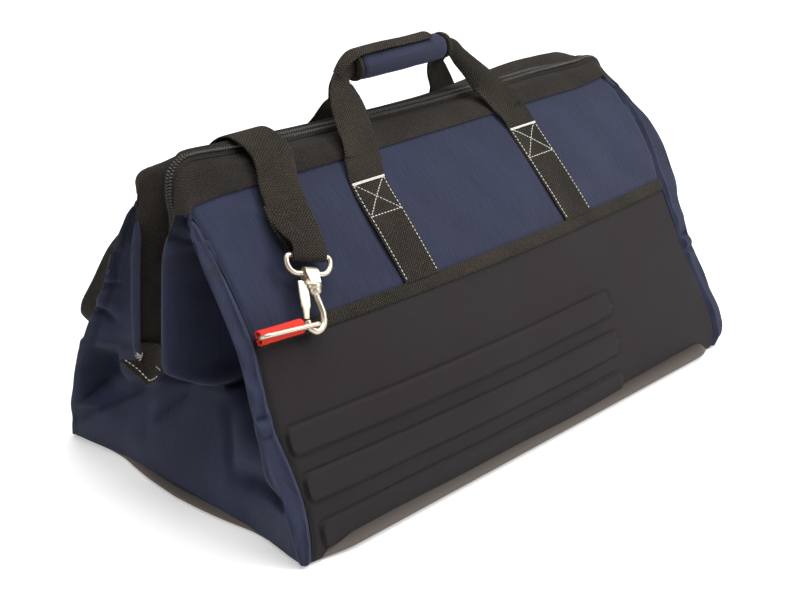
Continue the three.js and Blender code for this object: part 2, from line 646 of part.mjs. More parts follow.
// Stations that pass round a loop's bar, from the end behind it to the run in front
function strapFold(group, facing, drift = 0) {
  group.updateWorldMatrix(true, false);
  const place = (y, z, half = FOLD_HALF, x = 0) => ({
    middle: V(x, y, z).applyMatrix4(group.matrixWorld),
    across: V(facing, 0, 0).transformDirection(group.matrixWorld),
    half,
  });
  const round = LOOP.wire + LAY_GAP + WEBBING_THICK;
  const bends = [0, 45, 90, 135, 180].map((deg) => place(LOOP.high - round * Math.sin(rad(deg)),
    -round * Math.cos(rad(deg))));
  return [
    place(LOOP.high + STRAP_RETURN, -5.4, STRAP_HALF, drift),
    place(LOOP.high + STRAP_RETURN / 2, -4.8, STRAP_HALF - 1, drift / 2),
    place(LOOP.high + 6, -round), ...bends, place(LOOP.high + 8, round - 0.4),
  ];
}

function onWall(x, z, side, edgeDeg = 0, leanDeg = 0, clear = STRAP_CLEAR) {
  const normal = wallNormal(x, z, side);
  const up = V(0, 0, 1).addScaledVector(normal, -normal.z).normalize();
  const along = up.clone().cross(normal).multiplyScalar(-side);
  const outward = Math.sin(rad(edgeDeg)) * Math.cos(rad(leanDeg));
  const across = along.multiplyScalar(Math.cos(rad(edgeDeg)) * Math.cos(rad(leanDeg)))
    .addScaledVector(normal, outward).addScaledVector(up, Math.sin(rad(leanDeg)));
  return { middle: wallPoint(x, z, side, clear + STRAP_HALF * outward), across, half: STRAP_HALF };
}

function shoulderStrap() {
  const stations = [
    ...strapFold(hook, 1, RETURN_DRIFT),
    onWall(-200, 229, -1, 0, 0, 8), onWall(-197, 252, -1, 0, 0, 5.8),
    ...STRAP_ARCH.map(({ x, y, z }) => ({ middle: V(x, y, z), across: V(1, 0, 0), half: STRAP_HALF })),
    ...STRAP_BACK.map(({ x, z, edge, lean }) => onWall(x, z, 1, edge, lean)),
    ...strapFold(link, -1).reverse(),
  ];
  const last = stations.length - 1;
  const middle = curveThrough(stations.map((station) => station.middle));
  const grid = spread(0, last, 2 * last).map((p) => {
    const near = stations[Math.floor(p)];
    const next = stations[Math.min(Math.floor(p) + 1, last)];
    const across = near.across.clone().lerp(next.across, p % 1).normalize();
    const half = lerp(near.half, next.half, p % 1);
    return [-1, 0, 1].map((k) => middle.getPoint(p / last).addScaledVector(across, k * half));
  });
  return sheet(grid, WEBBING_THICK);
}

add('shoulder_strap', shoulderStrap(), WEBBING);

export default bag;
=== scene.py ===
"""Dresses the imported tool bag: cloth, moulded armour, webbing, zip, stitching and plated hardware.

Lengths in the tables and functions are millimetres in the part's own frame: +X along the bag to its
right end, -Y to the front, +Z up, origin in the middle of the base on the ground.
"""
import math

import bpy
import numpy as np
from bpy.props import FloatProperty, FloatVectorProperty, PointerProperty
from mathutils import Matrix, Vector


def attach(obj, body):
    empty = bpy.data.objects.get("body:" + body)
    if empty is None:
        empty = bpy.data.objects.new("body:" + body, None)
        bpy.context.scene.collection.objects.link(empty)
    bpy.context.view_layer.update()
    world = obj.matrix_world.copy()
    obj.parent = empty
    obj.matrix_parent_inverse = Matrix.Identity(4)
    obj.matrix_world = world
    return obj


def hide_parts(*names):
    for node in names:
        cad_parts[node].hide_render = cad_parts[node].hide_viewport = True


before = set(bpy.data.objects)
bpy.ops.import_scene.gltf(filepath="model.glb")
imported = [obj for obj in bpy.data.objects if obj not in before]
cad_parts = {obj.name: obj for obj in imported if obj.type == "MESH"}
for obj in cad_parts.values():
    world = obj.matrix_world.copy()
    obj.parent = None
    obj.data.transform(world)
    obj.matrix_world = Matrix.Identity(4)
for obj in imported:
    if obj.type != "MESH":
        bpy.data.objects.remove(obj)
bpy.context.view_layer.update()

bl_info = {
    "name": "Tool bag",
    "version": (1, 0, 0),
    "blender": (4, 5, 0),
    "location": "View3D > Sidebar > Tool bag",
    "description": "Builds the cloth, webbing, zip and hardware of a tool bag round its solid frame",
    "category": "Object",
}

MM = 0.001

# Body of the bag
LENGTH, DEPTH = 560.0, 304.0
RIDGE_Z, RIDGE_HALF = 279.0, 13.0
END_BULGE, MID_BULGE, BULGE_RISE = 14.0, 14.0, 0.85
WALL_FOOT, CLOTH, LAY_GAP = 2.9, 1.5, 0.4
ARMOUR_THICK, ARMOUR_TOP = 3.0, 161.8
# End seams: gap to the cloth, depth and width of the ditch beside them, and the bead on the end cloth
SEAM = {"gap": 0.3, "ditch": 1.5, "width": 2.6, "bead": 1.4}
BINDING = {"low": 155.5, "high": 165.5, "thick": 1.2}
# Ribs: lower edge, upper edge and left end, then the right end and the corner that they share
RIBS = [(8.0, 28.0, -264.0), (44.5, 65.0, -267.5), (79.5, 100.0, -271.0)]
RIB_RIGHT, RIB_CORNER = 111.0, 6.0
# Base cloth: its height, its thickness and the shares of its length and depth that it is drawn in to
BASE = {"low": 0.3, "thick": 2.5, "within": (0.985, 0.975)}
# Rim of the base: half width at the ends, swell across the left end and half its span, half width and half
# height along the walls, how far it is drawn in, how much its top narrows, and where it turns slim
RIM = {
    "end": 0.8, "crown": 3.6, "span": 105.0, "side": (8.8, 7.0), "inset": 4.0, "slope": 0.6,
    "fade": {"left": (232.0, 292.0), "right": (230.0, 262.0)},
}
# Lower edge of the tapes: height, fall at the left seam, rise at the right one, and how far both run
TAPE_EDGE = {"z": 259.8, "left_drop": 2.4, "right_rise": 3.0, "run": 40.0}
TAPE_THICK, TAPE_SWELL, TAPE_LAP = 1.6, 2.5, 2.6
# Zip along the ridge: its lowest place and height, and its rise over a run
ZIP_LOW = {"x": 90.0, "z": 273.0, "rise": 11.0, "run": 350.0}
ZIP_HALF, ZIP_GAP, ZIP_TILT_DEG, ZIP_SUNK = 4.1, 1.2, 38.0, 7.0
# How much higher the back tape stands near each end, and how far the zip falls at the right
BACK_TAPE_RISE, RIGHT_DROP = {"left": 11.0, "right": 7.5}, 3.5
# Where the tape's edge passes over each end seam, as a height and how far outside it, how far the edge dips
# past there, and how far the end cloth draws back under it
COVER, TAPE_DIP, TAPE_COVER = {"left": (255.0, 2.2), "right": (260.0, 1.8)}, 4.0, 6.0
WEBBING_THICK, WEBBING_HALF, STRAP_HALF = 1.8, 19.0, 19.5

# Rows and columns of the walls' grids
GRID = {"panel": (64, 260), "ribbed": (170, 270), "plain": (90, 160), "binding": (9, 160)}
# Sags of the upper cloth: place along the bag and its width, height and its width, and depth
SAGS = [(-150, 42, 196, 26, 2.2), (0, 60, 214, 30, 1.6), (185, 34, 214, 34, 2.0)]

# End cloth: how much further each valley goes in and how far the roll curls back before it, in rolls, and
# the groove beside the roll. A crease runs from one place across the bag and height to another, and has a
# depth and a width
VALLEYS, ROLL_GROOVE = {"front": (62.0, -0.9), "back": (-54.0, 0.45)}, 6.0
CREASES = [
    (150, 14, 54, 82, 6.0, 8.0), (52, 84, 0, 94, 6.5, 6.0), (0, 94, -44, 104, 6.5, 6.0),
    (-44, 104, -88, 120, 6.0, 7.0), (8, 90, 46, 47, 5.2, 7.0), (-30, 92, -58, 40, 3.6, 10.0),
    (-56, 40, -138, 52, 9.0, 13.0), (-84, 112, -112, 52, 3.0, 7.0), (108, 156, 70, 166, 4.2, 5.0),
    (104, 150, 82, 128, 3.6, 6.0), (96, 172, 118, 138, 3.2, 6.0), (-20, 238, -32, 226, 5.0, 7.0),
    (-52, 196, -38, 132, 2.2, 7.0), (60, 200, 84, 168, 3.0, 7.0), (70, 120, 118, 70, 2.6, 9.0),
]
# Heights between which the valley, its flank, the filling of the front valley and the groove beside the
# roll come in or go out, and between which the cloth draws back under the tape and sinks
RISE = {
    "valley": (66, 108), "valley_end": (204, 226), "flank_end": (192, 216), "filled": (208, 236),
    "groove": (36, 58), "groove_end": (222, 238), "draw_back": (214, 247), "sink": (240, 256),
}
# Folds across the roll: height, width and how far each stands out
ROLL_FOLDS = [(106, 4.0, 2.0), (112, 2.4, -3.0), (99, 2.2, -2.4)]
# Heights over which its fine waves and puckers fade near the top
SMOOTH_TOP = (226, 246)
# Rows of its grid, cells between the spots of its curve, and how much of the drawing back each spot takes
GUSSET_ROWS, GUSSET_CELLS = 200, (12, 6, 8, 18, 14, 14, 8)
DRAW_BACK = np.array([0, 0.2, 0.35, 0.4, 0.35, 0.3, 0.25, 1.2])

# Levels of an end gusset: height, seam, roll, valley and its depth, pleat's crest and its depth, groove
# and the rise of the zip in it, all measured outwards from the middle of the bag
GUSSET = {
    "left": np.array([
        (WALL_FOOT, 277, 9, 278.5, 85, 283, 40, 285, 0), (20, 273, 15, 279, 86, 281, 40, 282, 0),
        (45, 271, 19, 272, 86, 274, 40, 275, 0), (70, 273, 20, 262, 84, 264, 36, 265, 0),
        (92, 276, 17, 248, 78, 256, 32, 258, 0), (104, 277, 16, 238, 72, 260, 29, 262, 0),
        (112, 276, 15.5, 232, 68, 276, 26, 276, 0), (118, 276, 15, 228, 64, 292, 23, 289, 0),
        (126, 275, 15, 224, 60, 303, 21, 297, 0), (140, 273, 15, 220, 56, 305, 20, 291, 0),
        (165, 270, 16, 220, 52, 304, 20, 286, 0), (190, 271, 16, 226, 47, 302, 20, 283, 0),
        (212, 273, 15, 238, 38, 300, 20, 281.5, 0), (232, 275, 13, 258, 31, 296, 20, 280, 4),
        (246, 277.5, 6, 277, 27, 290, 21.5, 278, 12), (257, 282, 2.5, 284, 24, 287, 22, 273, 16),
    ], float),
    "right": np.array([
        (WALL_FOOT, 258, 7, 268, 85, 278, 40, 280, 0), (10, 267, 14, 275, 85, 280, 40, 281, 0),
        (20, 268, 17, 277, 86, 280, 40, 281, 0), (45, 262, 17, 268, 86, 272, 40, 273, 0),
        (70, 254, 16, 254, 84, 260, 36, 262, 0), (92, 247, 17, 238, 78, 252, 32, 255, 0),
        (104, 245, 17, 228, 72, 256, 29, 258, 0), (112, 245, 17, 222, 68, 272, 26, 272, 0),
        (118, 245, 17.5, 218, 64, 288, 23, 285, 0), (126, 245, 18, 214, 60, 297, 21, 292, 0),
        (140, 245, 19, 210, 56, 299, 20, 286, 0), (165, 245, 26, 208, 52, 299, 20, 281, 0),
        (190, 247, 25, 212, 47, 297, 20, 277, 0), (212, 246, 20, 222, 38, 289, 20, 272, 0),
        (232, 241, 12, 234, 31, 268, 20, 262, 4), (246, 236, 6, 240, 27, 255, 21.5, 253, 10),
        (262, 224, 2.5, 228, 21, 236, 19, 240, 8),
    ], float),
}
SIDE = {"left": -1.0, "right": 1.0}
# Height of the notch that the zip's groove is open from, and the hem past each crest: its cells, its top
# and the heights over which it narrows
NOTCH_Z = 118.0
HEM = {"cells": 3, "top": 246.0, "taper": (220.0, 246.0)}
# Level of each end that the zip starts at, and the ends and stations of the ridge
FIRST_ZIP_ROW = {"left": 8, "right": 9}
RIDGE_LEFT, RIDGE_RIGHT, RIDGE_STATIONS = -258.0, 216.0, 15
ZIP_STATIONS, COIL_STATIONS, FIBRES = 460, 1600, 16
# Zip coil: how far its turns lie aside of the zip's middle and over it, their slant and their half sizes
COIL = {"aside": 2.0, "over": 1.2, "slant": 0.25, "turn": (1.9, 0.78, 0.95)}
# Spots across a zip's tab: wall, share of the way from the tape's edge to the zip, how far the lip goes out
# and down from there
TAB_SPOTS = [(-1, 0.25, 4, 5), (-1, 0.7, 7, 11), (0, 1, 8, 16), (1, 0.7, 13, 5), (1, 0.25, 21, -6)]
# Rows of stitches on a tab: row of its grid, first and last column, length and thickness of a stitch, then
# their pitch and where the frayed corner is
TAB_SEWING, TAB_PITCH, TAB_FRAY = [(21.4, 1, 31, 2.4, 0.45), (13.0, 1, 13, 2.2, 0.4)], 3.4, (9, 29)
# Points that a line of stitches is read at, and the angle under which every edge of a grain is smooth
SEW_POINTS, ALL_SMOOTH = 60, 180.0

# Handle loops: x, z, y (None where the webbing lies on the wall) and half width
HANDLES = {
    "front": [
        (-98, 166, None, 19), (-105, 207, None, 19), (-110, 240, None, 19), (-106, 258, None, 19),
        (-102, 276, 23, 19), (-102, 296, 14, 17.5), (-101, 306, 10, 15), (-98.5, 314, 7.5, 11),
        (-94, 318.5, 6, 8.6), (-87, 320, 5.2, 7.8), (-76, 320, 4.6, 7.4), (22, 320, 4.6, 7.4),
        (33, 317.5, 5.2, 7.6), (42, 309, 8, 8.6), (51.5, 297, 14, 10.5), (59, 287, 18, 12.8),
        (70, 272, 26, 15), (81, 258, None, 17), (87, 240, None, 18), (96, 207, None, 18.5),
        (107.5, 166, None, 18.5),
    ],
    "back": [
        (-104, 166, None, 19), (-103, 207, None, 19), (-100, 240, None, 19), (-96, 258, None, 19),
        (-92, 278, 22, 17), (-91, 296, 14, 14), (-96, 309, 9, 10), (-90, 319, 5.2, 7.2),
        (-76, 320, 4.6, 7.2), (23, 320, 4.6, 7.2), (29.5, 318.5, 6.5, 7.4), (32, 311, 13, 9),
        (31.5, 300, 19, 11), (42, 285, 23.5, 13.5), (57, 267, 31, 17), (80, 240, None, 19),
        (97, 207, None, 19), (104, 166, None, 19),
    ],
}
# Steps between two knots of a handle or the strap, and knots on a handle's foot
KNOT_STEPS, FOOT_KNOTS = 14, 3
# Heights of the sewing on a handle's feet: its end, the lower line of the cross and the thick bar
FOOT_MARKS = {"left": (168.0, 216.0, 239.6), "right": (168.0, 219.5, 243.0)}
GRIP = {"left": -78.0, "right": 20.0, "z": 320.0, "half_y": 11.4, "half_z": 11.0, "thick": 2.2, "band": 7.0}
GRIP_FLAP_DEG = (48.0, 126.0)
GRIP_FLAP = {"left": -104.0, "bend": -76.0, "right": 4.0, "drop": 14.0, "narrow_deg": 40.0}

# Clasps, each in a frame on the wall: x to the viewer's right, y up the slope, z out of the wall. The hook,
# the link and the rings have an x, a y and a turn in degrees
CLASP = {"front": (-198.0, 178.0, -1.0), "back": (166.0, 178.0, 1.0)}
CLASP_OUT = 9.0
HOOK = (-6.5, 27.0, -18.0)
LINK = (28.0, -37.6, 250.0)
RING_SEAT = (-45.0, -19.7, -5.0)
LOOP = {"half": 19.5, "high": 3.0, "low": -11.0, "corner": 3.0, "bend": 9.0, "wire": 2.1}
EYE = {"outer": 5.2, "foot": -18.6, "half": 5.8, "thick": 1.3}
HOOK_WIRE = 2.65
GATE = {"x": -6.2, "top": -17.0, "tip": -46.6, "thick": 1.6}
RING = {"half": 26.0, "rise": 4.9, "wire": 1.8}
TAB = {
    "x": -5.6, "half": 20.2, "rise": 4.4, "lift": 1.4, "lean": 0.045, "reach": 8.2, "thick": 1.3,
    "stand": 2.0,
}

# Shoulder strap behind the bag: x, z, turn of its width out of the wall, then up it
STRAP_CLEAR, STRAP_RETURN, RETURN_DRIFT, FOLD_HALF = 4.2, 38.0, -14.0, 15.4
STRAP_FRONT = [(-200, 229, 0, 0), (-197, 252, 0, 0)]
STRAP_FRONT_CLEAR = (8.0, 5.8)
STRAP_ARCH = [(-193, -24, 277.5), (-193.5, -8, 287), (-195, 8, 289), (-198, 25, 278)]
STRAP_BACK = [
    (-203, 262, 0, 0), (-208, 236, 0, 0), (-222, 206, 20, 0), (-238, 178, 60, 0), (-244, 150, 88, 0),
    (-250, 122, 90, 0), (-257, 98, 90, 0), (-251, 84, 90, 0), (-205, 66, 90, 0), (-130, 60, 90, 0),
    (-50, 68, 90, 0), (15, 82, 90, 10), (55, 98, 90, 45), (90, 117, 90, 80),
]

# Camera, ground and lights in metres, degrees and watts. A lamp has a place, a size and a power
CAMERA_AT = (-0.9139, -0.8631, 0.6283)
CAMERA_AZIMUTH, CAMERA_ELEVATION, CAMERA_LENS, CAMERA_SENSOR = -45.768, 23.394, 67.12, 36.0
# The ground's glow is painted light: it lifts the shadows on the ground and lights the bag's lower parts
# from below
GROUND = {"reach": 6.0, "drop": 0.0004, "glow": 0.34}
SKY_STRENGTH, LAMP_AIM = 0.14, (0, 0, 0.14)
LAMPS = {
    "key_softbox": ((1.8, -1.7, 2.0), 1.5, 76.0),
    "top_softbox": ((0.1, -0.1, 2.5), 2.0, 82.0),
    "left_fill": ((-2.3, 0.5, 1.0), 1.4, 13.0),
}


# Small numpy tools

def unit(v):
    """Vectors scaled to length one."""
    return v / np.maximum(np.linalg.norm(v, axis=-1, keepdims=True), 1e-9)


def smoothstep(low, high, x):
    """0 below low, 1 above high, and 3t^2 - 2t^3 between them."""
    t = np.clip((x - low) / (high - low), 0, 1)
    return t * t * (3 - 2 * t)


def bell(x, middle, width):
    """Bump of height one: e to the power of minus the squared distance in widths."""
    return np.exp(-((x - middle) / width) ** 2)


def smooth_curve(knots, at, closed=False):
    """Centripetal Catmull-Rom curve through knots (..., n, 3), read at knot numbers: a cubic between
    each two knots whose end slopes come from chords divided by the square roots of their lengths."""
    knots = np.asarray(knots, float)
    if closed:
        pad = np.concatenate([knots[..., -1:, :], knots, knots[..., :2, :]], -2)
    else:
        first = 2 * knots[..., :1, :] - knots[..., 1:2, :]
        last = 2 * knots[..., -1:, :] - knots[..., -2:-1, :]
        pad = np.concatenate([first, knots, last], -2)
    at = np.asarray(at, float)
    i = np.clip(np.floor(at).astype(int), 0, pad.shape[-2] - 4)
    w = (at - i)[:, None]
    p0, p1, p2, p3 = (pad[..., i + k, :] for k in range(4))
    d0, d1, d2 = (np.maximum(np.sqrt(np.linalg.norm(b - a, axis=-1, keepdims=True)), 1e-4)
                  for a, b in ((p0, p1), (p1, p2), (p2, p3)))
    m1 = ((p1 - p0) / d0 - (p2 - p0) / (d0 + d1) + (p2 - p1) / d1) * d1
    m2 = ((p2 - p1) / d1 - (p3 - p1) / (d1 + d2) + (p3 - p2) / d2) * d1
    return (p1 + m1 * w + (3 * (p2 - p1) - 2 * m1 - m2) * w ** 2 + (2 * (p1 - p2) + m1 + m2) * w ** 3)


def read_levels(levels, z):
    """Every column of a table against its first one: cubics between rows whose slopes are the weighted
    harmonic means of the neighbouring chords, so that nothing overshoots."""
    x, y = levels[:, 0], levels[:, 1:]
    h = np.diff(x)[:, None]
    d = np.diff(y, axis=0) / h
    w1, w2 = 2 * h[1:] + h[:-1], h[1:] + 2 * h[:-1]
    same = d[1:] * d[:-1] > 0
    safe = np.where(same, w1 / np.where(same, d[:-1], 1) + w2 / np.where(same, d[1:], 1), 1)
    slope = np.concatenate([d[:1], np.where(same, (w1 + w2) / safe, 0), d[-1:]])
    i = np.clip(np.searchsorted(x, z) - 1, 0, len(x) - 2)
    t = np.clip((z - x[i])[:, None] / h[i], 0, 1)
    return ((2 * t ** 3 - 3 * t ** 2 + 1) * y[i] + (t ** 3 - 2 * t ** 2 + t) * h[i] * slope[i]
            + (3 * t ** 2 - 2 * t ** 3) * y[i + 1] + (t ** 3 - t ** 2) * h[i] * slope[i + 1])


def evenly(points, count, closed=False):
    """The same line with its points spread evenly along its length."""
    line = np.concatenate([points, points[:1]]) if closed else points
    run = np.concatenate([[0], np.cumsum(np.linalg.norm(np.diff(line, axis=0), axis=1))])
    at = np.linspace(0, run[-1], count + 1)[:-1] if closed else np.linspace(0, run[-1], count)
    return np.stack([np.interp(at, run, line[:, k]) for k in range(3)], -1)


def grid_normals(grid):
    """Unit normals of a grid: the cross product of its differences along its rows and across them."""
    return unit(np.cross(np.gradient(grid, axis=0), np.gradient(grid, axis=1)))


def grid_uv(grid):
    """Distances along and across a grid in metres, which weaves and ribs follow."""
    along = np.linalg.norm(np.diff(grid, axis=0), axis=-1).cumsum(0)
    across = np.linalg.norm(np.diff(grid, axis=1), axis=-1).cumsum(1)
    u = np.concatenate([np.zeros((1, grid.shape[1])), along])
    v = np.concatenate([np.zeros((grid.shape[0], 1)), across], 1)
    return np.stack([v - v[:, -1:] / 2, u], -1) * MM


# Meshes

def put_mesh(name, points, faces, uv, finish, smooth_deg=40.0):
    """Object at the origin from points in millimetres, with a UV map. Its faces are arrays of point numbers,
    one for each number of corners, turned outwards by the sign of the volume inside them."""
    corner = points[np.concatenate([part[:, :3] for part in faces])]
    if np.einsum("ij,ij->", corner[:, 0], np.cross(corner[:, 1], corner[:, 2])) < 0:
        faces = [part[:, ::-1] for part in faces]
    mesh = bpy.data.meshes.new(name)
    mesh.from_pydata((points * MM).tolist(), [], [face for part in faces for face in part.tolist()])
    loops = np.empty(len(mesh.loops), np.int32)
    mesh.loops.foreach_get("vertex_index", loops)
    mesh.uv_layers.new(name="UVMap").data.foreach_set("uv", uv[loops].astype(np.float32).ravel())
    mesh.polygons.foreach_set("use_smooth", np.ones(len(mesh.polygons), bool))
    mesh.set_sharp_from_angle(angle=math.radians(smooth_deg))
    mesh.validate()
    mesh.materials.append(finish)
    piece = bpy.data.objects.new(name, mesh)
    bpy.context.scene.collection.objects.link(piece)
    return piece


def shell_faces(rows, cols, keep):
    """Quads of a two-layered grid: the kept cells on each layer and a rim round every edge of them."""
    index = np.arange(rows * cols).reshape(rows, cols)
    a, b, c, d = index[:-1, :-1], index[1:, :-1], index[1:, 1:], index[:-1, 1:]
    under = rows * cols
    wide = np.pad(keep, 1)
    faces = [np.stack([a, b, c, d], -1)[keep], np.stack([a, d, c, b], -1)[keep] + under]
    sides = ((wide[1:-1, :-2], a, b), (wide[1:-1, 2:], c, d), (wide[:-2, 1:-1], d, a),
             (wide[2:, 1:-1], b, c))
    for beside, p, q in sides:
        edge = keep & ~beside
        faces.append(np.stack([p, p + under, q + under, q], -1)[edge])
    return np.concatenate(faces)


def shell(name, outer, thick, finish, keep=None):
    """Sheet of cloth: a grid, the same grid moved by its thickness along its normals, and a rim."""
    rows, cols = outer.shape[:2]
    keep = np.ones((rows - 1, cols - 1), bool) if keep is None else keep
    inner = outer + grid_normals(outer) * thick
    points = np.concatenate([outer.reshape(-1, 3), inner.reshape(-1, 3)])
    uv = np.tile(grid_uv(outer).reshape(-1, 2), (2, 1))
    faces = shell_faces(rows, cols, keep)
    used, number = np.unique(faces, return_inverse=True)
    return put_mesh(name, points[used], [number.reshape(faces.shape)], uv[used], finish)


def loft_faces(rows, around, closed):
    """Quads between the rings of a loft, with the two end rings filled where it is open."""
    ring = np.arange(rows * around).reshape(rows, around)
    ahead = np.roll(ring, -1, 0) if closed else ring[1:]
    here = ring if closed else ring[:-1]
    quads = np.stack([here, ahead, np.roll(ahead, -1, 1), np.roll(here, -1, 1)], -1).reshape(-1, 4)
    return [quads] if closed else [quads, np.stack([ring[0], ring[-1][::-1]])]


def loft(name, rings, finish, uv=None, closed=False, smooth_deg=40.0):
    """Closed skin over rings of points, one ring after another."""
    rows, around = rings.shape[:2]
    uv = grid_uv(rings) if uv is None else uv
    return put_mesh(name, rings.reshape(-1, 3), loft_faces(rows, around, closed), uv.reshape(-1, 2), finish,
                    smooth_deg)


def band_rings(outer, thick):
    """Rings round a woven band: its outer face, its inner face a thickness away, and edges that curve."""
    cols = outer.shape[1]
    round_off = np.zeros(cols)
    round_off[[0, -1]], round_off[[1, -2]] = 0.38, 0.08
    normals = grid_normals(outer) * thick
    top = outer + normals * round_off[None, :, None]
    low = outer + normals * (1 - round_off)[None, :, None]
    uv = grid_uv(outer)
    return np.concatenate([top, low[:, ::-1]], 1), np.concatenate([uv, uv[:, ::-1]], 1)


def band(name, outer, thick, finish):
    """Woven band over a grid whose rows run across it."""
    rings, uv = band_rings(outer, thick)
    return loft(name, rings, finish, uv)


def tube_rings(path, radius, axis, sides, closed=False):
    """Circles round a path: the sideways direction is the path's direction times a fixed axis."""
    ahead = np.roll(path, -1, 0) - np.roll(path, 1, 0) if closed else np.gradient(path, axis=0)
    tangent = unit(ahead)
    side = unit(np.cross(tangent, axis))
    lift = np.cross(side, tangent)
    turn = np.linspace(0, 2 * np.pi, sides, endpoint=False)
    radius = np.broadcast_to(radius, (len(path),))[:, None, None]
    return (path[:, None] + radius * (side[:, None] * np.cos(turn)[None, :, None]
                                      + lift[:, None] * np.sin(turn)[None, :, None]))


def beads(centres, along, up, sizes, lat=4, lon=8):
    """Points and faces of many rounded grains: one sphere of a few faces, stretched by the three sizes
    along each grain's own directions."""
    theta = np.linspace(0.12, np.pi - 0.12, lat)
    phi = np.linspace(0, 2 * np.pi, lon, endpoint=False)
    ball = np.stack([np.cos(theta)[:, None] * np.ones(lon), np.sin(theta)[:, None] * np.cos(phi),
                     np.sin(theta)[:, None] * np.sin(phi)], -1).reshape(-1, 3) * np.asarray(sizes)
    along = unit(along)
    side = unit(np.cross(up, along))
    lift = np.cross(along, side)
    points = (centres[:, None] + ball[None, :, :1] * along[:, None] + ball[None, :, 1:2] * side[:, None]
              + ball[None, :, 2:] * lift[:, None])
    start = (np.arange(len(centres)) * lat * lon)[:, None, None]
    faces = [(part + start).reshape(-1, part.shape[1]) for part in loft_faces(lat, lon, False)]
    return points.reshape(-1, 3), faces


def dress(piece, slot, *nodes, body="bag"):
    """Rides a piece on a body and hides the nodes that it stands for. Its slot is not used."""
    if nodes:
        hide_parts(*nodes)
    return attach(piece, body)


# The swelling walls

def wall_depth(x, z):
    """Half depth of the bag: a straight slope from base to ridge plus a swell, a sine of the height that
    is larger in the middle of the length."""
    s = np.clip(z / RIDGE_Z, 0, 1)
    u = np.clip(x / (LENGTH / 2), -1, 1)
    swell = (END_BULGE + MID_BULGE * (1 - u * u)) * np.sin(np.pi * s ** BULGE_RISE)
    return DEPTH / 2 + (RIDGE_HALF - DEPTH / 2) * s + swell


def wall_normal(x, z, side):
    """Outward normal of a wall from the slopes of its depth."""
    dx = wall_depth(x + 0.5, z) - wall_depth(x - 0.5, z)
    dz = wall_depth(x, z + 0.5) - wall_depth(x, z - 0.5)
    return unit(np.stack([-dx, np.full_like(dx, side), -dz], -1))


def wall_point(x, z, side, out=0.0):
    """Point on a wall, moved out along its normal."""
    x, z = np.broadcast_arrays(np.asarray(x, float), np.asarray(z, float))
    base = np.stack([x, side * wall_depth(x, z), z], -1)
    return base + wall_normal(x, z, side) * np.broadcast_to(out, x.shape)[..., None]


def seam_x(end, z):
    """Where an end seam crosses a height."""
    z = np.asarray(z, float)
    return SIDE[end] * read_levels(GUSSET[end], z.ravel())[:, 0].reshape(z.shape)


def tape_edge_z(x):
    """Height of the tape's lower edge, which falls in a parabola near the left seam and rises in one near
    the right seam."""
    left, right = x + GUSSET["left"][-1, 1], GUSSET["right"][-1, 1] - x
    fall = TAPE_EDGE["left_drop"] * np.clip(1 - left / TAPE_EDGE["run"], 0, 1) ** 2
    return TAPE_EDGE["z"] - fall + TAPE_EDGE["right_rise"] * np.clip(1 - right / TAPE_EDGE["run"], 0, 1) ** 2


def cloth_relief(x, z):
    """Soft dents of the stuffed upper cloth: slow waves that fade at the edges, and sags, each a bell of
    the place times a bell of the height."""
    inside = smoothstep(165, 185, z) * (1 - smoothstep(240, 258, z))
    waves = (0.9 * np.sin(x / 31 + 0.03 * z) * np.sin(z / 27 + 0.6) + 0.6 * np.sin(x / 17 - z / 23 + 1.1)
             + 0.35 * np.sin(x / 9.5 + z / 12))
    sag = sum(deep * bell(x, at, wide) * bell(z, level, high) for at, wide, level, high, deep in SAGS)
    return inside * (waves - sag)


def wall_sheet(low, high, inset, rows, cols):
    """Places and heights of a patch between the end seams, up to a height at each of them, with its columns
    closer near the seams, and how far each point is from the nearer seam."""
    v = np.linspace(0, 1, rows)[:, None]
    t = np.linspace(0, 1, cols)[None, :]
    u = t - 0.75 * np.sin(2 * np.pi * t) / (2 * np.pi)
    level = low + (np.array(high) - low) * v
    left, right = seam_x("left", level[:, :1]), seam_x("right", level[:, 1:])
    x = left + inset + (right - left - 2 * inset) * u
    return x, level[:, :1] * (1 - u) + level[:, 1:] * u, v, np.minimum(x - left, right - x)


def seam_ditch(from_seam):
    """How far cloth is drawn in beside a seam: a bell of the distance from it."""
    return SEAM["ditch"] * bell(from_seam, 0, SEAM["width"])


def panel_grid(side):
    """Upper cloth of a wall, from the armour to the tape's lower edge."""
    low = ARMOUR_TOP + 0.6
    high = (TAPE_EDGE["z"] - TAPE_EDGE["left_drop"], TAPE_EDGE["z"] + TAPE_EDGE["right_rise"])
    x, _, v, from_seam = wall_sheet(low, high, SEAM["gap"], *GRID["panel"])
    z = low + (tape_edge_z(x) - 0.9 - low) * v
    return wall_point(x, z, side, cloth_relief(x * -side, z) - seam_ditch(from_seam))


def rib_height(x, z, raise_mm):
    """Moulded ribs: bars with round corners, whose height climbs smoothly inside their edge."""
    total = np.zeros_like(x)
    for low, high, left in RIBS:
        dx = np.abs(x - (RIB_RIGHT + left) / 2) - ((RIB_RIGHT - left) / 2 - RIB_CORNER)
        dz = np.abs(z - (low + high) / 2) - ((high - low) / 2 - RIB_CORNER)
        past = np.hypot(np.maximum(dx, 0), np.maximum(dz, 0))
        edge = past + np.minimum(np.maximum(dx, dz), 0) - RIB_CORNER
        total += raise_mm * (smoothstep(0, 1.7, -edge) - 0.3 * bell(edge, 1.0, 1.0))
    return total


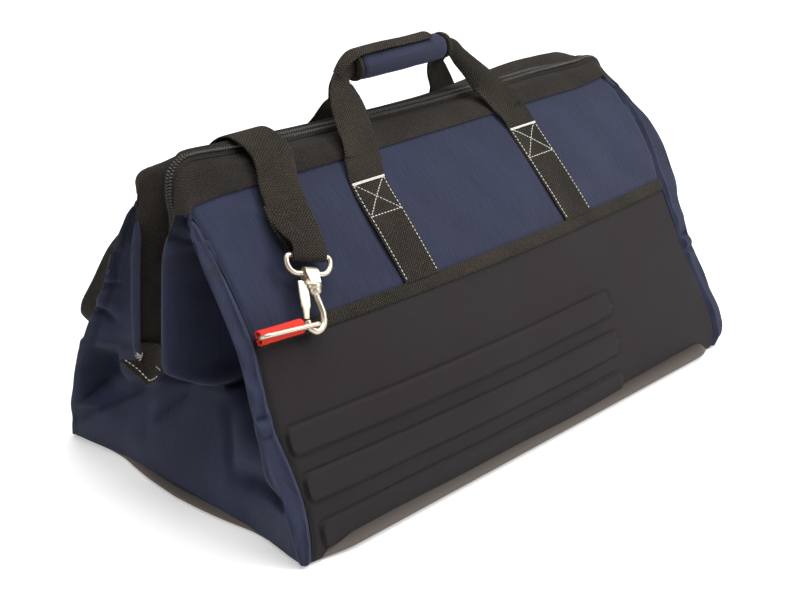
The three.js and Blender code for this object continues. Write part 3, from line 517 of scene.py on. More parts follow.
def armour_grid(side, raise_mm):
    """Lower wall with its ribs, a slow unevenness and the pull of the seams."""
    rows, cols = GRID["ribbed"] if raise_mm else GRID["plain"]
    x, z, _, from_seam = wall_sheet(WALL_FOOT, (ARMOUR_TOP, ARMOUR_TOP), SEAM["gap"], rows, cols)
    uneven = 0.5 * np.sin(x / 47 + z / 31) + 0.35 * np.sin(x / 23 - z / 19 + 0.7)
    fade = smoothstep(4, 16, z) * (1 - smoothstep(146, 160, z))
    return wall_point(x, z, side, rib_height(x, z, raise_mm) + uneven * fade - seam_ditch(from_seam))


def binding_grid(side):
    """Woven strip over the armour's top edge, a little crowned."""
    high = (BINDING["high"], BINDING["high"])
    x, z, v, from_seam = wall_sheet(BINDING["low"], high, 1.0, *GRID["binding"])
    crown = 0.5 * (1 - (2 * v - 1) ** 2)
    return wall_point(x, z, side, LAY_GAP + BINDING["thick"] + crown - seam_ditch(from_seam))


# End gussets

def gusset_half(end, z, deeper, curl):
    """Front half of an end cloth: at each height a curve leaves the wall at the seam, rolls round the
    corner, turns back sharply into the valley, comes out to the pleat's crest and goes into the groove. Near
    its top it draws back, so that the tape covers it, and the hem past the crest narrows away."""
    seam, roll, valley, valley_y, crest, crest_y, groove, _ = read_levels(GUSSET[end], z).T
    depth = wall_depth(seam, z)
    span = depth - valley_y
    low = smoothstep(*RISE["valley"], z)
    deep = low * (1 - smoothstep(*RISE["valley_end"], z))
    deep_flank = low * (1 - smoothstep(*RISE["flank_end"], z))
    full = smoothstep(*RISE["filled"], z) * (deeper > 0)
    beside = smoothstep(*RISE["groove"], z) * (1 - smoothstep(*RISE["groove_end"], z))
    lip = np.minimum(0.06 * span, 2.0)
    inside = (1 - low) * (valley - ROLL_GROOVE) + low * (seam + curl * roll)
    inside = (1 - beside) * (seam + 0.8 * roll) + beside * inside
    valley = np.minimum(valley - deeper * deep, np.maximum(valley, seam - 3))
    valley = valley + full * np.maximum(np.minimum(seam + roll, crest) - 7 - valley, 0)
    flank_x = valley + (0.5 + 0.06 * deep_flank) * (crest - valley)
    flank_y = crest_y + (0.5 - 0.3 * deep_flank) * (valley_y - crest_y)
    x = np.stack([seam + 0.3, seam + roll, seam + 0.86 * roll, inside, valley, flank_x, crest, groove], -1)
    x = x - TAPE_COVER * smoothstep(*RISE["draw_back"], z)[:, None] * DRAW_BACK
    turn_y = depth - lip
    y = np.stack([depth, turn_y, turn_y - 0.09 * span, turn_y - 0.2 * span, valley_y, flank_y, crest_y,
                  0 * z], -1)
    level = (z - 2.8 * smoothstep(*RISE["sink"], z))[:, None]
    half = np.stack([SIDE[end] * x, -y, np.broadcast_to(level, x.shape)], -1)
    cells = [np.linspace(k, k + 1, n, endpoint=False) for k, n in enumerate(GUSSET_CELLS)]
    curve = smooth_curve(half, np.concatenate([*cells, [len(GUSSET_CELLS)]]))
    groove_cells = GUSSET_CELLS[-1]
    crest_line = curve[:, -groove_cells - 1:-groove_cells]
    hem = slice(-groove_cells, HEM["cells"] - groove_cells)
    wide = (1 - 0.94 * smoothstep(*HEM["taper"], z))[:, None, None]
    curve[:, hem] = crest_line + (curve[:, hem] - crest_line) * wide
    return curve


def gusset_grid(end):
    """End cloth from seam to seam, with a deeper valley in front than behind; creases and fine folds ride on
    it and its top goes under the tape."""
    z = np.linspace(WALL_FOOT, GUSSET[end][-1, 0], GUSSET_ROWS)
    front, back = (gusset_half(end, z, *VALLEYS[half]) for half in ("front", "back"))
    grid = np.concatenate([front, back[:, -2::-1] * np.array([1, -1, 1])], 1)
    return tuck_under_tape(crumple(grid, end, front.shape[1] - 1), end)


def creases(y, z):
    """Folds pressed into the end cloth: along each line a groove, a bell of the distance from it, with a
    rounded rise on its upper side, fading at both ends of the line."""
    total = np.zeros_like(z)
    for y0, z0, y1, z1, deep, wide in CREASES:
        long = math.hypot(y1 - y0, z1 - z0)
        way = ((y1 - y0) / long, (z1 - z0) / long)
        along = (y - y0) * way[0] + (z - z0) * way[1]
        off = ((z - z0) * way[0] - (y - y0) * way[1]) * math.copysign(1.0, way[0])
        start = smoothstep(-0.5 * wide, 0.3 * long, along)
        stop = smoothstep(0.7 * long, long + 0.5 * wide, along)
        groove = bell(off, 0, wide * (0.5 + 0.2 * (off > 0)))
        total += deep * start * (1 - stop) * (0.6 * bell(off, 1.5 * wide, 1.3 * wide) - groove)
    return total


def crumple(grid, end, middle):
    """Moves the gusset along its normals by creases, small slanting waves that fade towards the seam, the
    crest and the base, a few folds across the roll, and the ditch and the bead beside the seam."""
    z = grid[..., 2]
    j = np.abs(np.arange(grid.shape[1]) - middle)[None, :] / middle
    side = np.sign(np.arange(grid.shape[1]) - middle)[None, :]
    free = smoothstep(0.12, 0.2, j) * (1 - smoothstep(0.72, 0.84, j)) * smoothstep(4, 26, z)
    free = free * (1 - smoothstep(*SMOOTH_TOP, z))
    waves = 0.7 * np.sin(z / 13 + 5 * j + 0.8 * side) * np.sin(9 * j + z / 41)
    waves = waves + 0.4 * np.sin(z / 7.5 - 11 * j + side)
    on_roll = smoothstep(0.84, 0.9, j) * (1 - smoothstep(0.95, 0.99, j)) * smoothstep(12, 30, z)
    puckers = 1.3 * on_roll * (1 - smoothstep(*SMOOTH_TOP, z)) * np.sin(z / 6.2 + 2 * np.sin(z / 21))
    puckers = puckers + on_roll * sum(out * bell(z, level, wide) for level, wide, out in ROLL_FOLDS)
    low = np.minimum(smoothstep(0.0, 0.1, j) + (1 - smoothstep(100, 116, z)), 1)
    pressed = creases(grid[..., 1], z) * low * (1 - smoothstep(0.8, 0.9, j)) * smoothstep(4, 20, z)
    from_front = np.linalg.norm(grid - grid[:, :1], axis=-1)
    from_back = np.linalg.norm(grid - grid[:, -1:], axis=-1)
    from_seam = np.minimum(from_front, from_back)
    bead = SEAM["bead"] * bell(from_seam, 4.2, 1.6)
    move = free * waves + puckers + pressed + bead - seam_ditch(from_seam)
    return grid - grid_normals(grid) * (SIDE[end] * move)[..., None]


def tuck_under_tape(grid, end):
    """Carries the gusset's top edge on towards the zip, so that it ends under the tape."""
    row = GUSSET[end][-1]
    goal = np.array([SIDE[end] * row[7], 0, row[0] + row[8]])
    middle = (grid.shape[1] - 1) / 2
    j = np.abs(np.arange(grid.shape[1]) - middle) / middle
    share = np.linspace(0, 0.24, 7)[1:, None, None] * (1 - smoothstep(0.5, 0.8, j))[None, :, None]
    under = np.array([SIDE[end] * 2.4, 0, 2.4]) * np.minimum(share * 9, 1)
    more = grid[-1] + (goal - grid[-1]) * share - under
    more[..., 2] = more[..., 2] + np.linspace(0, 0.12, 7)[1:, None]
    return np.concatenate([grid, more])


def gusset_keep(grid):
    """Cells of the gusset, without the groove's from the notch up, but for a hem past each crest."""
    middle = (grid.shape[1] - 1) // 2
    j = np.arange(grid.shape[1] - 1)
    z = grid[:-1, 0, 2][:, None]
    bare = GUSSET_CELLS[-1] - np.where(z < HEM["top"], HEM["cells"], 0)
    in_groove = (j >= middle - bare) & (j < middle + bare)
    return ~(in_groove & (z >= NOTCH_Z))


def base_line():
    """Line round the foot of the walls."""
    return np.concatenate([gusset_grid("left")[0], gusset_grid("right")[0, ::-1]])


def base_grid():
    """Base: straight lines between the feet of the four seams, drawn in under them."""
    share = np.linspace(0, 1, 24)[:, None, None]
    grid = gusset_grid("left")[0, [0, -1]] * (1 - share) + gusset_grid("right")[0, [0, -1]] * share
    return np.concatenate([grid[..., :2] * BASE["within"], np.full_like(grid[..., :1], BASE["low"])], -1)


def base_rim():
    """Padded rim of the base: an ellipse on the floor at each place of the line round the walls' foot,
    narrowed towards its top. It is full along the front and the back, slim and drawn in at the corners and
    the right end, and swells in a parabola across the left end."""
    line = evenly(base_line(), 400, closed=True)
    out = np.cross(unit(np.roll(line, -1, 0) - np.roll(line, 1, 0)), [0, 0, 1.0])
    out = out * np.sign(np.einsum("ij,ij->i", out, line))[:, None]
    x, y = line[:, 0], line[:, 1]
    along = 1 - np.where(x < 0, smoothstep(*RIM["fade"]["left"], -x), smoothstep(*RIM["fade"]["right"], x))
    middle = np.clip(1 - (y / RIM["span"]) ** 2, 0, 1) * (x < 0)
    slim = RIM["end"] + RIM["crown"] * middle
    wide, high = (slim + (full - slim) * along for full in RIM["side"])
    turn = np.linspace(0, 2 * np.pi, 16, endpoint=False)
    narrow = 1 - RIM["slope"] * np.maximum(np.sin(turn), 0)
    spread = wide[:, None] * np.cos(turn) * narrow - (RIM["inset"] * (1 - along) * (1 - middle))[:, None]
    rings = line[:, None] + out[:, None] * spread[..., None]
    rings[..., 2] = high[:, None] * (1 + np.sin(turn))
    return rings


# Zip, tapes and tabs

def seam_cover(end):
    """Where the tape's edge passes over the top of an end seam, just outside its corner."""
    height, out = COVER[end]
    z = np.array([height])
    x = seam_x(end, z)
    return np.stack([x + SIDE[end] * out, -wall_depth(x, z) - out, z], -1)


def zip_knots():
    """Stations of the zip from the foot of the left groove over the ridge to the foot of the right one:
    the tape's outer edge on the front, the zip's middle, and how much the tape swells."""
    def ending(end):
        """Stations up one end: the tape's outer edge, and the zip's middle, sunk between two heights."""
        rows = GUSSET[end][FIRST_ZIP_ROW[end]:]
        height = rows[:, 0]
        outer = np.stack([SIDE[end] * rows[:, 5], -rows[:, 6], height - TAPE_DIP * (height > 250)], -1)
        sunk = ZIP_SUNK * smoothstep(126, 150, height) * (1 - smoothstep(236, 254, height))
        middle = np.stack([SIDE[end] * (rows[:, 7] - sunk), 0 * height, height + rows[:, 8]], -1)
        return outer, middle
    x = np.linspace(RIDGE_LEFT, RIDGE_RIGHT, RIDGE_STATIONS)
    edge_x = np.concatenate([[RIDGE_LEFT - 15], x, [RIDGE_RIGHT + 4]])
    ridge_outer = wall_point(edge_x, tape_edge_z(edge_x) - TAPE_LAP, -1, 1.9)
    sag = ZIP_LOW["z"] + ZIP_LOW["rise"] * ((x - ZIP_LOW["x"]) / ZIP_LOW["run"]) ** 2
    sag = sag - RIGHT_DROP * smoothstep(150, RIDGE_RIGHT, x)
    ridge_middle = np.stack([x, 0 * x, sag], -1)
    (lo, lm), (ro, rm) = ending("left"), ending("right")
    corner = np.array([[1 / 3], [2 / 3]])
    left = lm[-1] + (ridge_middle[0] - lm[-1]) * corner + np.array([-1.4, 0, 1.4])
    right = rm[-1] + (ridge_middle[-1] - rm[-1]) * corner + np.array([1.4, 0, 1.4])
    swell = np.concatenate([np.zeros(len(lo) + 1), [0.35, 0.75], np.ones(RIDGE_STATIONS - 2), [0.75, 0.35],
                            np.zeros(len(ro) + 1)])
    outer = np.concatenate([lo, seam_cover("left"), ridge_outer, seam_cover("right"), ro[::-1]])
    return outer, np.concatenate([lm, left, ridge_middle, right[::-1], rm[::-1]]), swell


def zip_line(count):
    """Evenly numbered stations along the zip: outer edge, middle, swell and the direction across the zip,
    which tips towards the front along the ridge."""
    outer, middle, swell = zip_knots()
    at = np.linspace(0, len(outer) - 1, count)
    swell = np.interp(at, np.arange(len(swell)), swell)
    tilt = np.radians(ZIP_TILT_DEG) * swell
    across = np.stack([0 * tilt, np.cos(tilt), np.sin(tilt)], -1)
    return smooth_curve(outer, at), smooth_curve(middle, at), swell, across


def tape_grid(wall):
    """Tape from its edge to the zip: a straight line plus a swell, a sine of the way across, and the raised
    channel that the mouth's frame runs in. The back one stands higher at the left corner and towards the
    right."""
    outer, middle, swell, across = zip_line(ZIP_STATIONS)
    outer = outer * np.array([1, -wall, 1])
    inner = middle + across * wall * (ZIP_HALF + ZIP_GAP)
    w = np.linspace(0, 1, 19)
    reach = np.linalg.norm(outer - inner, axis=1)
    overlap = (2.2 if wall > 0 else 4.2) * smoothstep(230, 250, outer[:, 2])
    start = np.where(swell > 0.2, 0, (1.2 - overlap) / reach)
    share = start[:, None] + (1 - start[:, None]) * w
    grid = outer[:, None] * (1 - share[..., None]) + inner[:, None] * share[..., None]
    lift = TAPE_SWELL * np.sin(np.pi * w) + 1.0 * bell(w, 0.66, 0.14)
    grid = grid + (swell[:, None] * lift)[..., None] * np.array([0, wall, 1.0])
    if wall > 0:
        x, z = middle[:, :1], middle[:, 2:]
        right = smoothstep(0, 150, x) * (1 - smoothstep(200, 238, x))
        left = bell(x, -271, 9) * smoothstep(254, 268, z)
        high = BACK_TAPE_RISE["right"] * right * np.sin(np.pi * w ** 2)
        high = high + BACK_TAPE_RISE["left"] * left * np.sin(np.pi * w ** 0.5)
        grid = grid + high[..., None] * np.array([0, 0.35, 1.0])
    return grid


def zip_strip():
    """The woven strip under the coil, a flat band along the zip's middle whose edges dip under the tapes."""
    _, middle, _, across = zip_line(ZIP_STATIONS)
    w = np.array([-1.3, -1, -0.5, 0, 0.5, 1, 1.3]) * (ZIP_HALF + ZIP_GAP + 0.2)
    up = unit(np.cross(np.gradient(middle, axis=0), across))
    sunk = 1.8 * (np.abs(w) > w[-2])
    return middle[:, None] + w[None, :, None] * across[:, None] - sunk[None, :, None] * up[:, None]


def coil_grains(pitch):
    """Places, directions and normals of the coil's turns in two rows beside the zip's middle."""
    _, middle, _, across = zip_line(COIL_STATIONS)
    run = np.linalg.norm(np.diff(middle, axis=0), axis=1).sum()
    count = int(run / pitch)
    line = evenly(middle, count)
    side_way = unit(across[np.linspace(0, COIL_STATIONS - 1, count).astype(int)])
    tangent = unit(np.gradient(line, axis=0))
    up = unit(np.cross(tangent, side_way))
    rows = [(line + side_way * side * COIL["aside"] + up * COIL["over"] + tangent * shift,
             unit(side_way * side + tangent * COIL["slant"]), up)
            for side, shift in ((-1, 0.0), (1, pitch / 2))]
    return tuple(np.concatenate(part) for part in zip(*rows))


def tab_grid(end):
    """Tab over the zip's end: it lies in the groove's two slopes, on lines from the tape's edge to the zip,
    and its free lip spreads outwards."""
    side, first = SIDE[end], FIRST_ZIP_ROW[end]
    rows = GUSSET[end][[first + 1, first]][:, None]
    wall, share, out, down = np.array(TAB_SPOTS, float).T
    edge = np.stack(np.broadcast_arrays(side * rows[..., 5], wall * rows[..., 6], rows[..., 0]), -1)
    inner = np.stack(np.broadcast_arrays(side * rows[..., 7], wall * (ZIP_HALF + ZIP_GAP), rows[..., 0]), -1)
    start = 3.0 / np.linalg.norm(edge - inner, axis=-1)
    groove = edge + (inner - edge) * (start + (1 - start) * share)[..., None]
    groove[..., 0] += side * np.where(wall == 0, 1.9, 2.4)
    lip = groove[1:] + np.stack([side * out, 0 * out, -down], -1)
    across = smooth_curve(np.concatenate([groove, lip]), np.linspace(0, 4, 33))
    return smooth_curve(across.transpose(1, 0, 2), np.linspace(0, 2, 25)).transpose(1, 0, 2)


def frayed_end(root, side):
    """Loose fibres at a tab's corner: short straight strands that fan out evenly from one spot."""
    turn = np.linspace(0, 2.6, FIBRES)
    way = unit(np.stack([side * (0.5 + 0.4 * np.cos(5 * turn)), 0.9 - turn * 0.6,
                         0.5 * np.sin(7 * turn) + 0.2], -1))
    return root + way * 2.6, way, np.tile([side, 0, 0.5], (FIBRES, 1)), (3.2, 0.3, 0.3)


# Handles and grip

BAND_SPREAD = np.array([-1, -0.97, -0.86, -0.5, 0, 0.5, 0.86, 0.97, 1])


def handle_over(z):
    """Height of the handle's outer face above the wall: it climbs over the tape's edge."""
    return LAY_GAP + WEBBING_THICK + 2.4 * smoothstep(238, 257, z)


def handle_rest(x, z, wall):
    """How far out a handle lies on a wall: the wall's depth plus the handle's height over it, which counts
    for more where the wall slopes."""
    return wall_depth(x, z) + handle_over(z) / np.abs(wall_normal(x, z, wall)[..., 1])


def handle_line(which):
    """A handle loop's middle line, its sideways direction, its half width and where it lies flat."""
    wall = -1.0 if which == "front" else 1.0
    rows = HANDLES[which]
    x, z, half = (np.array([row[k] for row in rows], float) for k in (0, 1, 3))
    flat = np.array([row[2] is None for row in rows])
    y = np.where(flat, handle_rest(x, z, wall), [row[2] or 0 for row in rows])
    last = len(rows) - 1
    at = np.linspace(0, last, KNOT_STEPS * last + 1)
    line = smooth_curve(np.stack([x, wall * y, z], -1), at)
    tangent = np.gradient(line, axis=0)
    square = unit(np.stack([tangent[:, 2], 0 * at, -tangent[:, 0]], -1))
    level = np.stack([np.sign(tangent[:, 2]), 0 * at, 0 * at], -1)
    upright = smoothstep(246, 266, line[:, 2])[:, None]
    across = unit(level * (1 - upright) + square * upright)
    wide = np.interp(at, np.arange(last + 1), half) / np.einsum("ij,ij->i", across, square)
    lower = np.minimum(np.floor(at).astype(int), last - 1)
    return line, across, wide, flat[lower] & flat[lower + 1], wall


def handle_grid(which):
    """Webbing of a handle: flat on the wall at its feet, then free, and folding lengthwise as it narrows
    into the grip, its edges bending towards the middle by a share of the width that it loses."""
    line, across, half, flat, wall = handle_line(which)
    grid = line[:, None] + across[:, None] * (half[:, None] * BAND_SPREAD)[..., None]
    x, z = grid[..., 0], grid[..., 2]
    least = np.where(z < RIDGE_Z, handle_rest(x, z, wall), 0)
    room = np.maximum(np.abs(line[:, 1]) - 3.2, 0)[:, None]
    fold = np.minimum(0.55 * np.maximum(WEBBING_HALF - half, 0)[:, None], room) * BAND_SPREAD ** 2
    free_y = np.maximum(np.abs(grid[..., 1]) - fold, least)
    return np.stack([x, wall * np.where(flat[:, None], least, free_y), z], -1)


def grip_ring(x, grow, swell):
    """Rings of the wrap: ellipses whose size swells between its ends."""
    turn = np.linspace(0, 2 * np.pi, 72, endpoint=False)
    ripple = 0.25 * np.sin(5 * turn[None, :] + x[:, None] / 9) * np.sin(x[:, None] / 13)
    more = grow[:, None] + swell[:, None] + ripple * (grow[:, None] > -2)
    y = (GRIP["half_y"] + more) * np.cos(turn)
    z = GRIP["z"] + (GRIP["half_z"] + more) * np.sin(turn)
    return np.stack([np.broadcast_to(x[:, None], y.shape), y, z], -1)


def sleeve_rings(left, right, thick, puff):
    """A wrap with its wall turned in at both ends: out along its outer face and back along its inner one."""
    x = np.linspace(left, right, 41)
    swell = puff * np.sin(np.pi * (x - left) / (right - left)) ** 0.6
    edge = 0.5 * thick * (1 - smoothstep(0, 2, np.minimum(x - left, right - x)))
    outer = grip_ring(x, -edge, swell)
    inner = grip_ring(x[::-1], np.full_like(x, -thick) + edge[::-1], 0 * x)
    return np.concatenate([outer, inner])


def flap_grid():
    """Bound edge of the wrap's closing flap, along the top of the grip, with its left end drooping in a
    parabola over the handles' bend."""
    x = np.linspace(GRIP_FLAP["left"], GRIP_FLAP["right"], 70)
    past = np.maximum(GRIP_FLAP["bend"] - x, 0) / (GRIP_FLAP["bend"] - GRIP_FLAP["left"])
    start = GRIP_FLAP_DEG[0] + GRIP_FLAP["narrow_deg"] * past
    deg = np.radians(start[:, None] + (GRIP_FLAP_DEG[1] - start[:, None]) * np.linspace(0, 1, 13))
    out = LAY_GAP + WEBBING_THICK + 0.3 + 0.3 * np.sin(x / 11)
    y = (GRIP["half_y"] + out[:, None]) * np.cos(deg)
    z = GRIP["z"] + (GRIP["half_z"] + out[:, None]) * np.sin(deg) - (GRIP_FLAP["drop"] * past ** 2)[:, None]
    return np.stack([np.broadcast_to(x[:, None], y.shape), y, z], -1)


# Clasps

def clasp_frame(which):
    """Origin and axes of a clasp: along the wall, up it and out of it."""
    x, z, side = CLASP[which]
    x, z = np.array(x), np.array(z)
    out = wall_normal(x, z, side)
    up = unit(np.array([0, 0, 1.0]) - out * out[2])
    return wall_point(x, z, side), np.stack([np.cross(up, out), up, out])


def seat(base, x, y, tilt_deg):
    """Frame that stands off a clasp's frame and is turned about its outward axis."""
    origin, axes = base
    c, s = math.cos(math.radians(tilt_deg)), math.sin(math.radians(tilt_deg))
    turned = np.stack([c * axes[0] + s * axes[1], -s * axes[0] + c * axes[1], axes[2]])
    return origin + np.array([x, y, CLASP_OUT]) @ axes, turned


def place(base, points):
    """Points of a frame's own coordinates in the bag's."""
    origin, axes = base
    return origin + np.asarray(points, float) @ axes


def rounded_loop(half, low, high, corner, bend):
    """Closed outline in the plane of x and y, with small round corners above and wide ones below."""
    turn = np.radians(np.linspace(0, 90, 9))
    quarter = np.stack([np.cos(turn), np.sin(turn)], -1)
    top, foot = quarter * corner, quarter * bend * np.array([1, -1])
    mirror = np.array([-1, 1])
    right_top = top + [half - corner, high - corner]
    right_foot = (foot + [half - bend, low + bend])[::-1]
    flat = np.concatenate([right_top, (right_top * mirror)[::-1], (right_foot * mirror)[::-1], right_foot])
    return np.column_stack([flat, np.zeros(len(flat))])


def hook_route():
    """The hook's bent wire from its knob round to the tip under the lever."""
    knots = np.array([(2.6, EYE["foot"] - 0.3), (3.2, -24), (4.4, -29.5), (6.9, -36), (8.7, -43), (7.9, -51),
                      (2, -55.8), (-4, -53.5), (-6.4, GATE["tip"] - 1)], float)
    line = smooth_curve(np.column_stack([knots, np.zeros(len(knots))]), np.linspace(0, len(knots) - 1, 240))
    return evenly(line, 150)


def hook_radius(count):
    """Radius along the hook: a collar in two steps, a neck, then plain wire with a blunt tip."""
    t = np.linspace(0, 1, count)
    knob = 6.0 - 0.9 * smoothstep(0.062, 0.07, t) - 0.6 * bell(t, 0, 0.008) - 0.5 * bell(t, 0.135, 0.01)
    body = knob + (HOOK_WIRE - knob) * smoothstep(0.135, 0.175, t)
    return body * (1 - 0.55 * smoothstep(0.985, 1.0, t))


def eye_grid():
    """Plate folded over the loop's bar: down in front, round the bar and down behind, a little narrower at
    its feet and leaning towards the hook's back."""
    turn = np.linspace(0, np.pi, 21)
    bend = np.stack([LOOP["low"] + EYE["outer"] * np.sin(turn), EYE["outer"] * np.cos(turn)], -1)
    foot = np.linspace(EYE["foot"], LOOP["low"], 12, endpoint=False)
    front = np.stack([foot, np.full(12, EYE["outer"])], -1)
    line = np.concatenate([front, bend, front[::-1] * [1, -1]])
    half = EYE["half"] - 0.7 * smoothstep(LOOP["low"], EYE["foot"], line[:, 0])
    x = half[:, None] * BAND_SPREAD + 1.6 * smoothstep(LOOP["low"], EYE["foot"], line[:, :1])
    return np.stack([x, np.broadcast_to(line[:, :1], x.shape), np.broadcast_to(line[:, 1:], x.shape)], -1)


def gate_grid():
    """Lever: a slightly bowed plate that steps in to a narrow tongue near its tip."""
    y = np.linspace(GATE["top"], GATE["tip"], 60)
    t = np.linspace(0, 1, 60)
    marks = [GATE["tip"], -39.5, -36.5, -26, GATE["top"]]
    left = np.interp(y, marks, [-8.8, -9.6, -10.6, -11.6, -11.4])
    right = np.interp(y, marks, [-4.2, -3.6, -2.4, -2.6, -5.0])
    middle, half = (left + right) / 2, (right - left) / 2
    x = middle[:, None] + half[:, None] * BAND_SPREAD
    bow = GATE["thick"] / 2 + 0.6 * np.sin(np.pi * t)
    crown = 0.12 * (1 - BAND_SPREAD ** 2)
    return np.stack([x, np.broadcast_to(y[:, None], x.shape), bow[:, None] + crown], -1)


def ring_route():
    """Long ring: two straight bars and a half circle at each end, in the plane of x and z."""
    turn = np.linspace(np.pi / 2, -np.pi / 2, 17)
    cap = np.stack([RING["half"] - RING["rise"] + RING["rise"] * np.cos(turn), 0 * turn,
                    RING["rise"] * np.sin(turn)], -1)
    return evenly(np.concatenate([cap, -cap]), 110, closed=True)


def tab_fold():
    """Red tape folded round the ring's inner bar until its ends meet behind it, a little flared and
    leaning."""
    back, front = TAB["stand"] - CLASP_OUT, TAB["reach"] - CLASP_OUT
    r = TAB["rise"]
    upper = np.array([(0, 0.1 * r, back), (0, 0.85 * r, back), (0, r, back + 1), (0, r, front - 4),
                      (0, 0.8 * r, front - 1.4), (0, 0.4 * r, front - 0.1)])
    knots = np.concatenate([upper, upper[::-1] * np.array([1, -1, 1])])
    line = smooth_curve(knots, np.linspace(0, len(knots) - 1, 89))
    x = TAB["x"] + TAB["half"] * BAND_SPREAD
    flare = 1 + 0.05 * BAND_SPREAD ** 4
    y = line[:, 1:2] * flare + TAB["lift"] + TAB["lean"] * (x - TAB["x"])
    return np.stack([np.broadcast_to(x, y.shape), y, np.broadcast_to(line[:, 2:], y.shape)], -1)


def link_route():
    """Plain pear-shaped link of the hidden clasp."""
    half, high = LOOP["half"], LOOP["high"]
    knots = np.array([(half, 0), (half - 2, high), (0, high), (2 - half, high), (-half, 0), (-12, -22),
                      (-5.4, -46), (-3, -54), (2, -55.8), (7, -54), (9.4, -46), (14, -22)], float)
    at = np.linspace(0, len(knots), 240, endpoint=False)
    line = smooth_curve(np.column_stack([knots, np.zeros(len(knots))]), at, closed=True)
    return evenly(line, 140, closed=True)


# Shoulder strap

def strap_fold(base, facing, drift):
    """Stations round a loop's bar, from the end behind it, which leans aside, to the run in front: middle,
    sideways, half width."""
    turn = LOOP["wire"] + LAY_GAP + WEBBING_THICK
    high = LOOP["high"]
    bends = [(0, high - turn * math.sin(a), -turn * math.cos(a), FOLD_HALF)
             for a in np.radians([0, 45, 90, 135, 180])]
    spots = np.array([(drift, high + STRAP_RETURN, -5.4, STRAP_HALF),
                      (drift / 2, high + STRAP_RETURN / 2, -4.8, STRAP_HALF - 1),
                      (0, high + 6, -turn, FOLD_HALF), *bends, (0, high + 8, turn - 0.4, FOLD_HALF)])
    middle = place(base, spots[:, :3])
    return middle, np.broadcast_to(facing * base[1][0], middle.shape), spots[:, 3]


def on_wall(spots, side, clear):
    """Stations over a wall, with the strap's width turned out of it and then up it."""
    x, z, edge, lean = np.array(spots, float).T
    normal = wall_normal(x, z, side)
    up = unit(np.array([0, 0, 1.0]) - normal * normal[:, 2:])
    along = -side * np.cross(up, normal)
    edge, lean = np.radians(edge)[:, None], np.radians(lean)[:, None]
    outward = np.sin(edge) * np.cos(lean)
    across = along * np.cos(edge) * np.cos(lean) + normal * outward + up * np.sin(lean)
    middle = wall_point(x, z, side, np.asarray(clear) + STRAP_HALF * outward[:, 0])
    return middle, across, np.full(len(x), STRAP_HALF)


def strap_grid():
    """The shoulder strap from hook to link: a smooth line through its stations and a width that turns
    with them."""
    hook = seat(clasp_frame("front"), *HOOK)
    link = seat(clasp_frame("back"), *LINK)
    arch = np.array(STRAP_ARCH, float)
    runs = [strap_fold(hook, 1.0, RETURN_DRIFT), on_wall(STRAP_FRONT, -1.0, STRAP_FRONT_CLEAR),
            (arch, np.tile([1.0, 0, 0], (len(arch), 1)), np.full(len(arch), STRAP_HALF)),
            on_wall(STRAP_BACK, 1.0, STRAP_CLEAR),
            tuple(part[::-1] for part in strap_fold(link, -1.0, 0.0))]
    middle, across, half = (np.concatenate([run[k] for run in runs]) for k in range(3))
    last = len(middle) - 1
    at = np.linspace(0, last, KNOT_STEPS * last + 1)
    line = smooth_curve(middle, at)
    turn = unit(smooth_curve(across, at))
    wide = np.interp(at, np.arange(last + 1), half)
    return line[:, None] + turn[:, None] * (wide[:, None] * BAND_SPREAD)[..., None]


# Stitching

def stitch_row(line, normals, pitch, length, thick):
    """Stitches spread along a line: places, directions and normals, and the half sizes of one."""
    run = np.concatenate([[0], np.cumsum(np.linalg.norm(np.diff(line, axis=0), axis=1))])
    at = np.arange(pitch / 2, run[-1], pitch)
    centre = np.stack([np.interp(at, run, line[:, k]) for k in range(3)], -1)
    up = unit(np.stack([np.interp(at, run, normals[:, k]) for k in range(3)], -1))
    tangent = np.stack([np.interp(at, run, np.gradient(line[:, k], run)) for k in range(3)], -1)
    return centre + up * thick * 0.35, tangent, up, (length / 2, thick * 1.15, thick)


def sew(name, rows, finish):
    """One mesh of all the stitches of a thread."""
    grains = [beads(centre, tangent, up, sizes, 4, 6) for centre, tangent, up, sizes in rows]
    starts = np.cumsum([0] + [len(points) for points, _ in grains[:-1]])
    points = np.concatenate([part for part, _ in grains])
    faces = [np.concatenate([part[k] + start for (_, part), start in zip(grains, starts)]) for k in (0, 1)]
    return put_mesh(name, points, faces, np.zeros((len(points), 2)), finish, ALL_SMOOTH)


def on_grid(grid, rows, cols):
    """Points and outward normals of a grid between its own rows and columns."""
    rows, cols = np.asarray(rows, float), np.asarray(cols, float)
    normals = -grid_normals(grid)
    i = np.clip(rows.astype(int), 0, grid.shape[0] - 2)
    j = np.clip(cols.astype(int), 0, grid.shape[1] - 2)
    a, b = (rows - i)[:, None], (cols - j)[:, None]

    def mix(field):
        """A field between four points of the grid, each weighed by how near it is."""
        return ((field[i, j] * (1 - a) + field[i + 1, j] * a) * (1 - b)
                + (field[i, j + 1] * (1 - a) + field[i + 1, j + 1] * a) * b)
    return mix(grid), mix(normals)


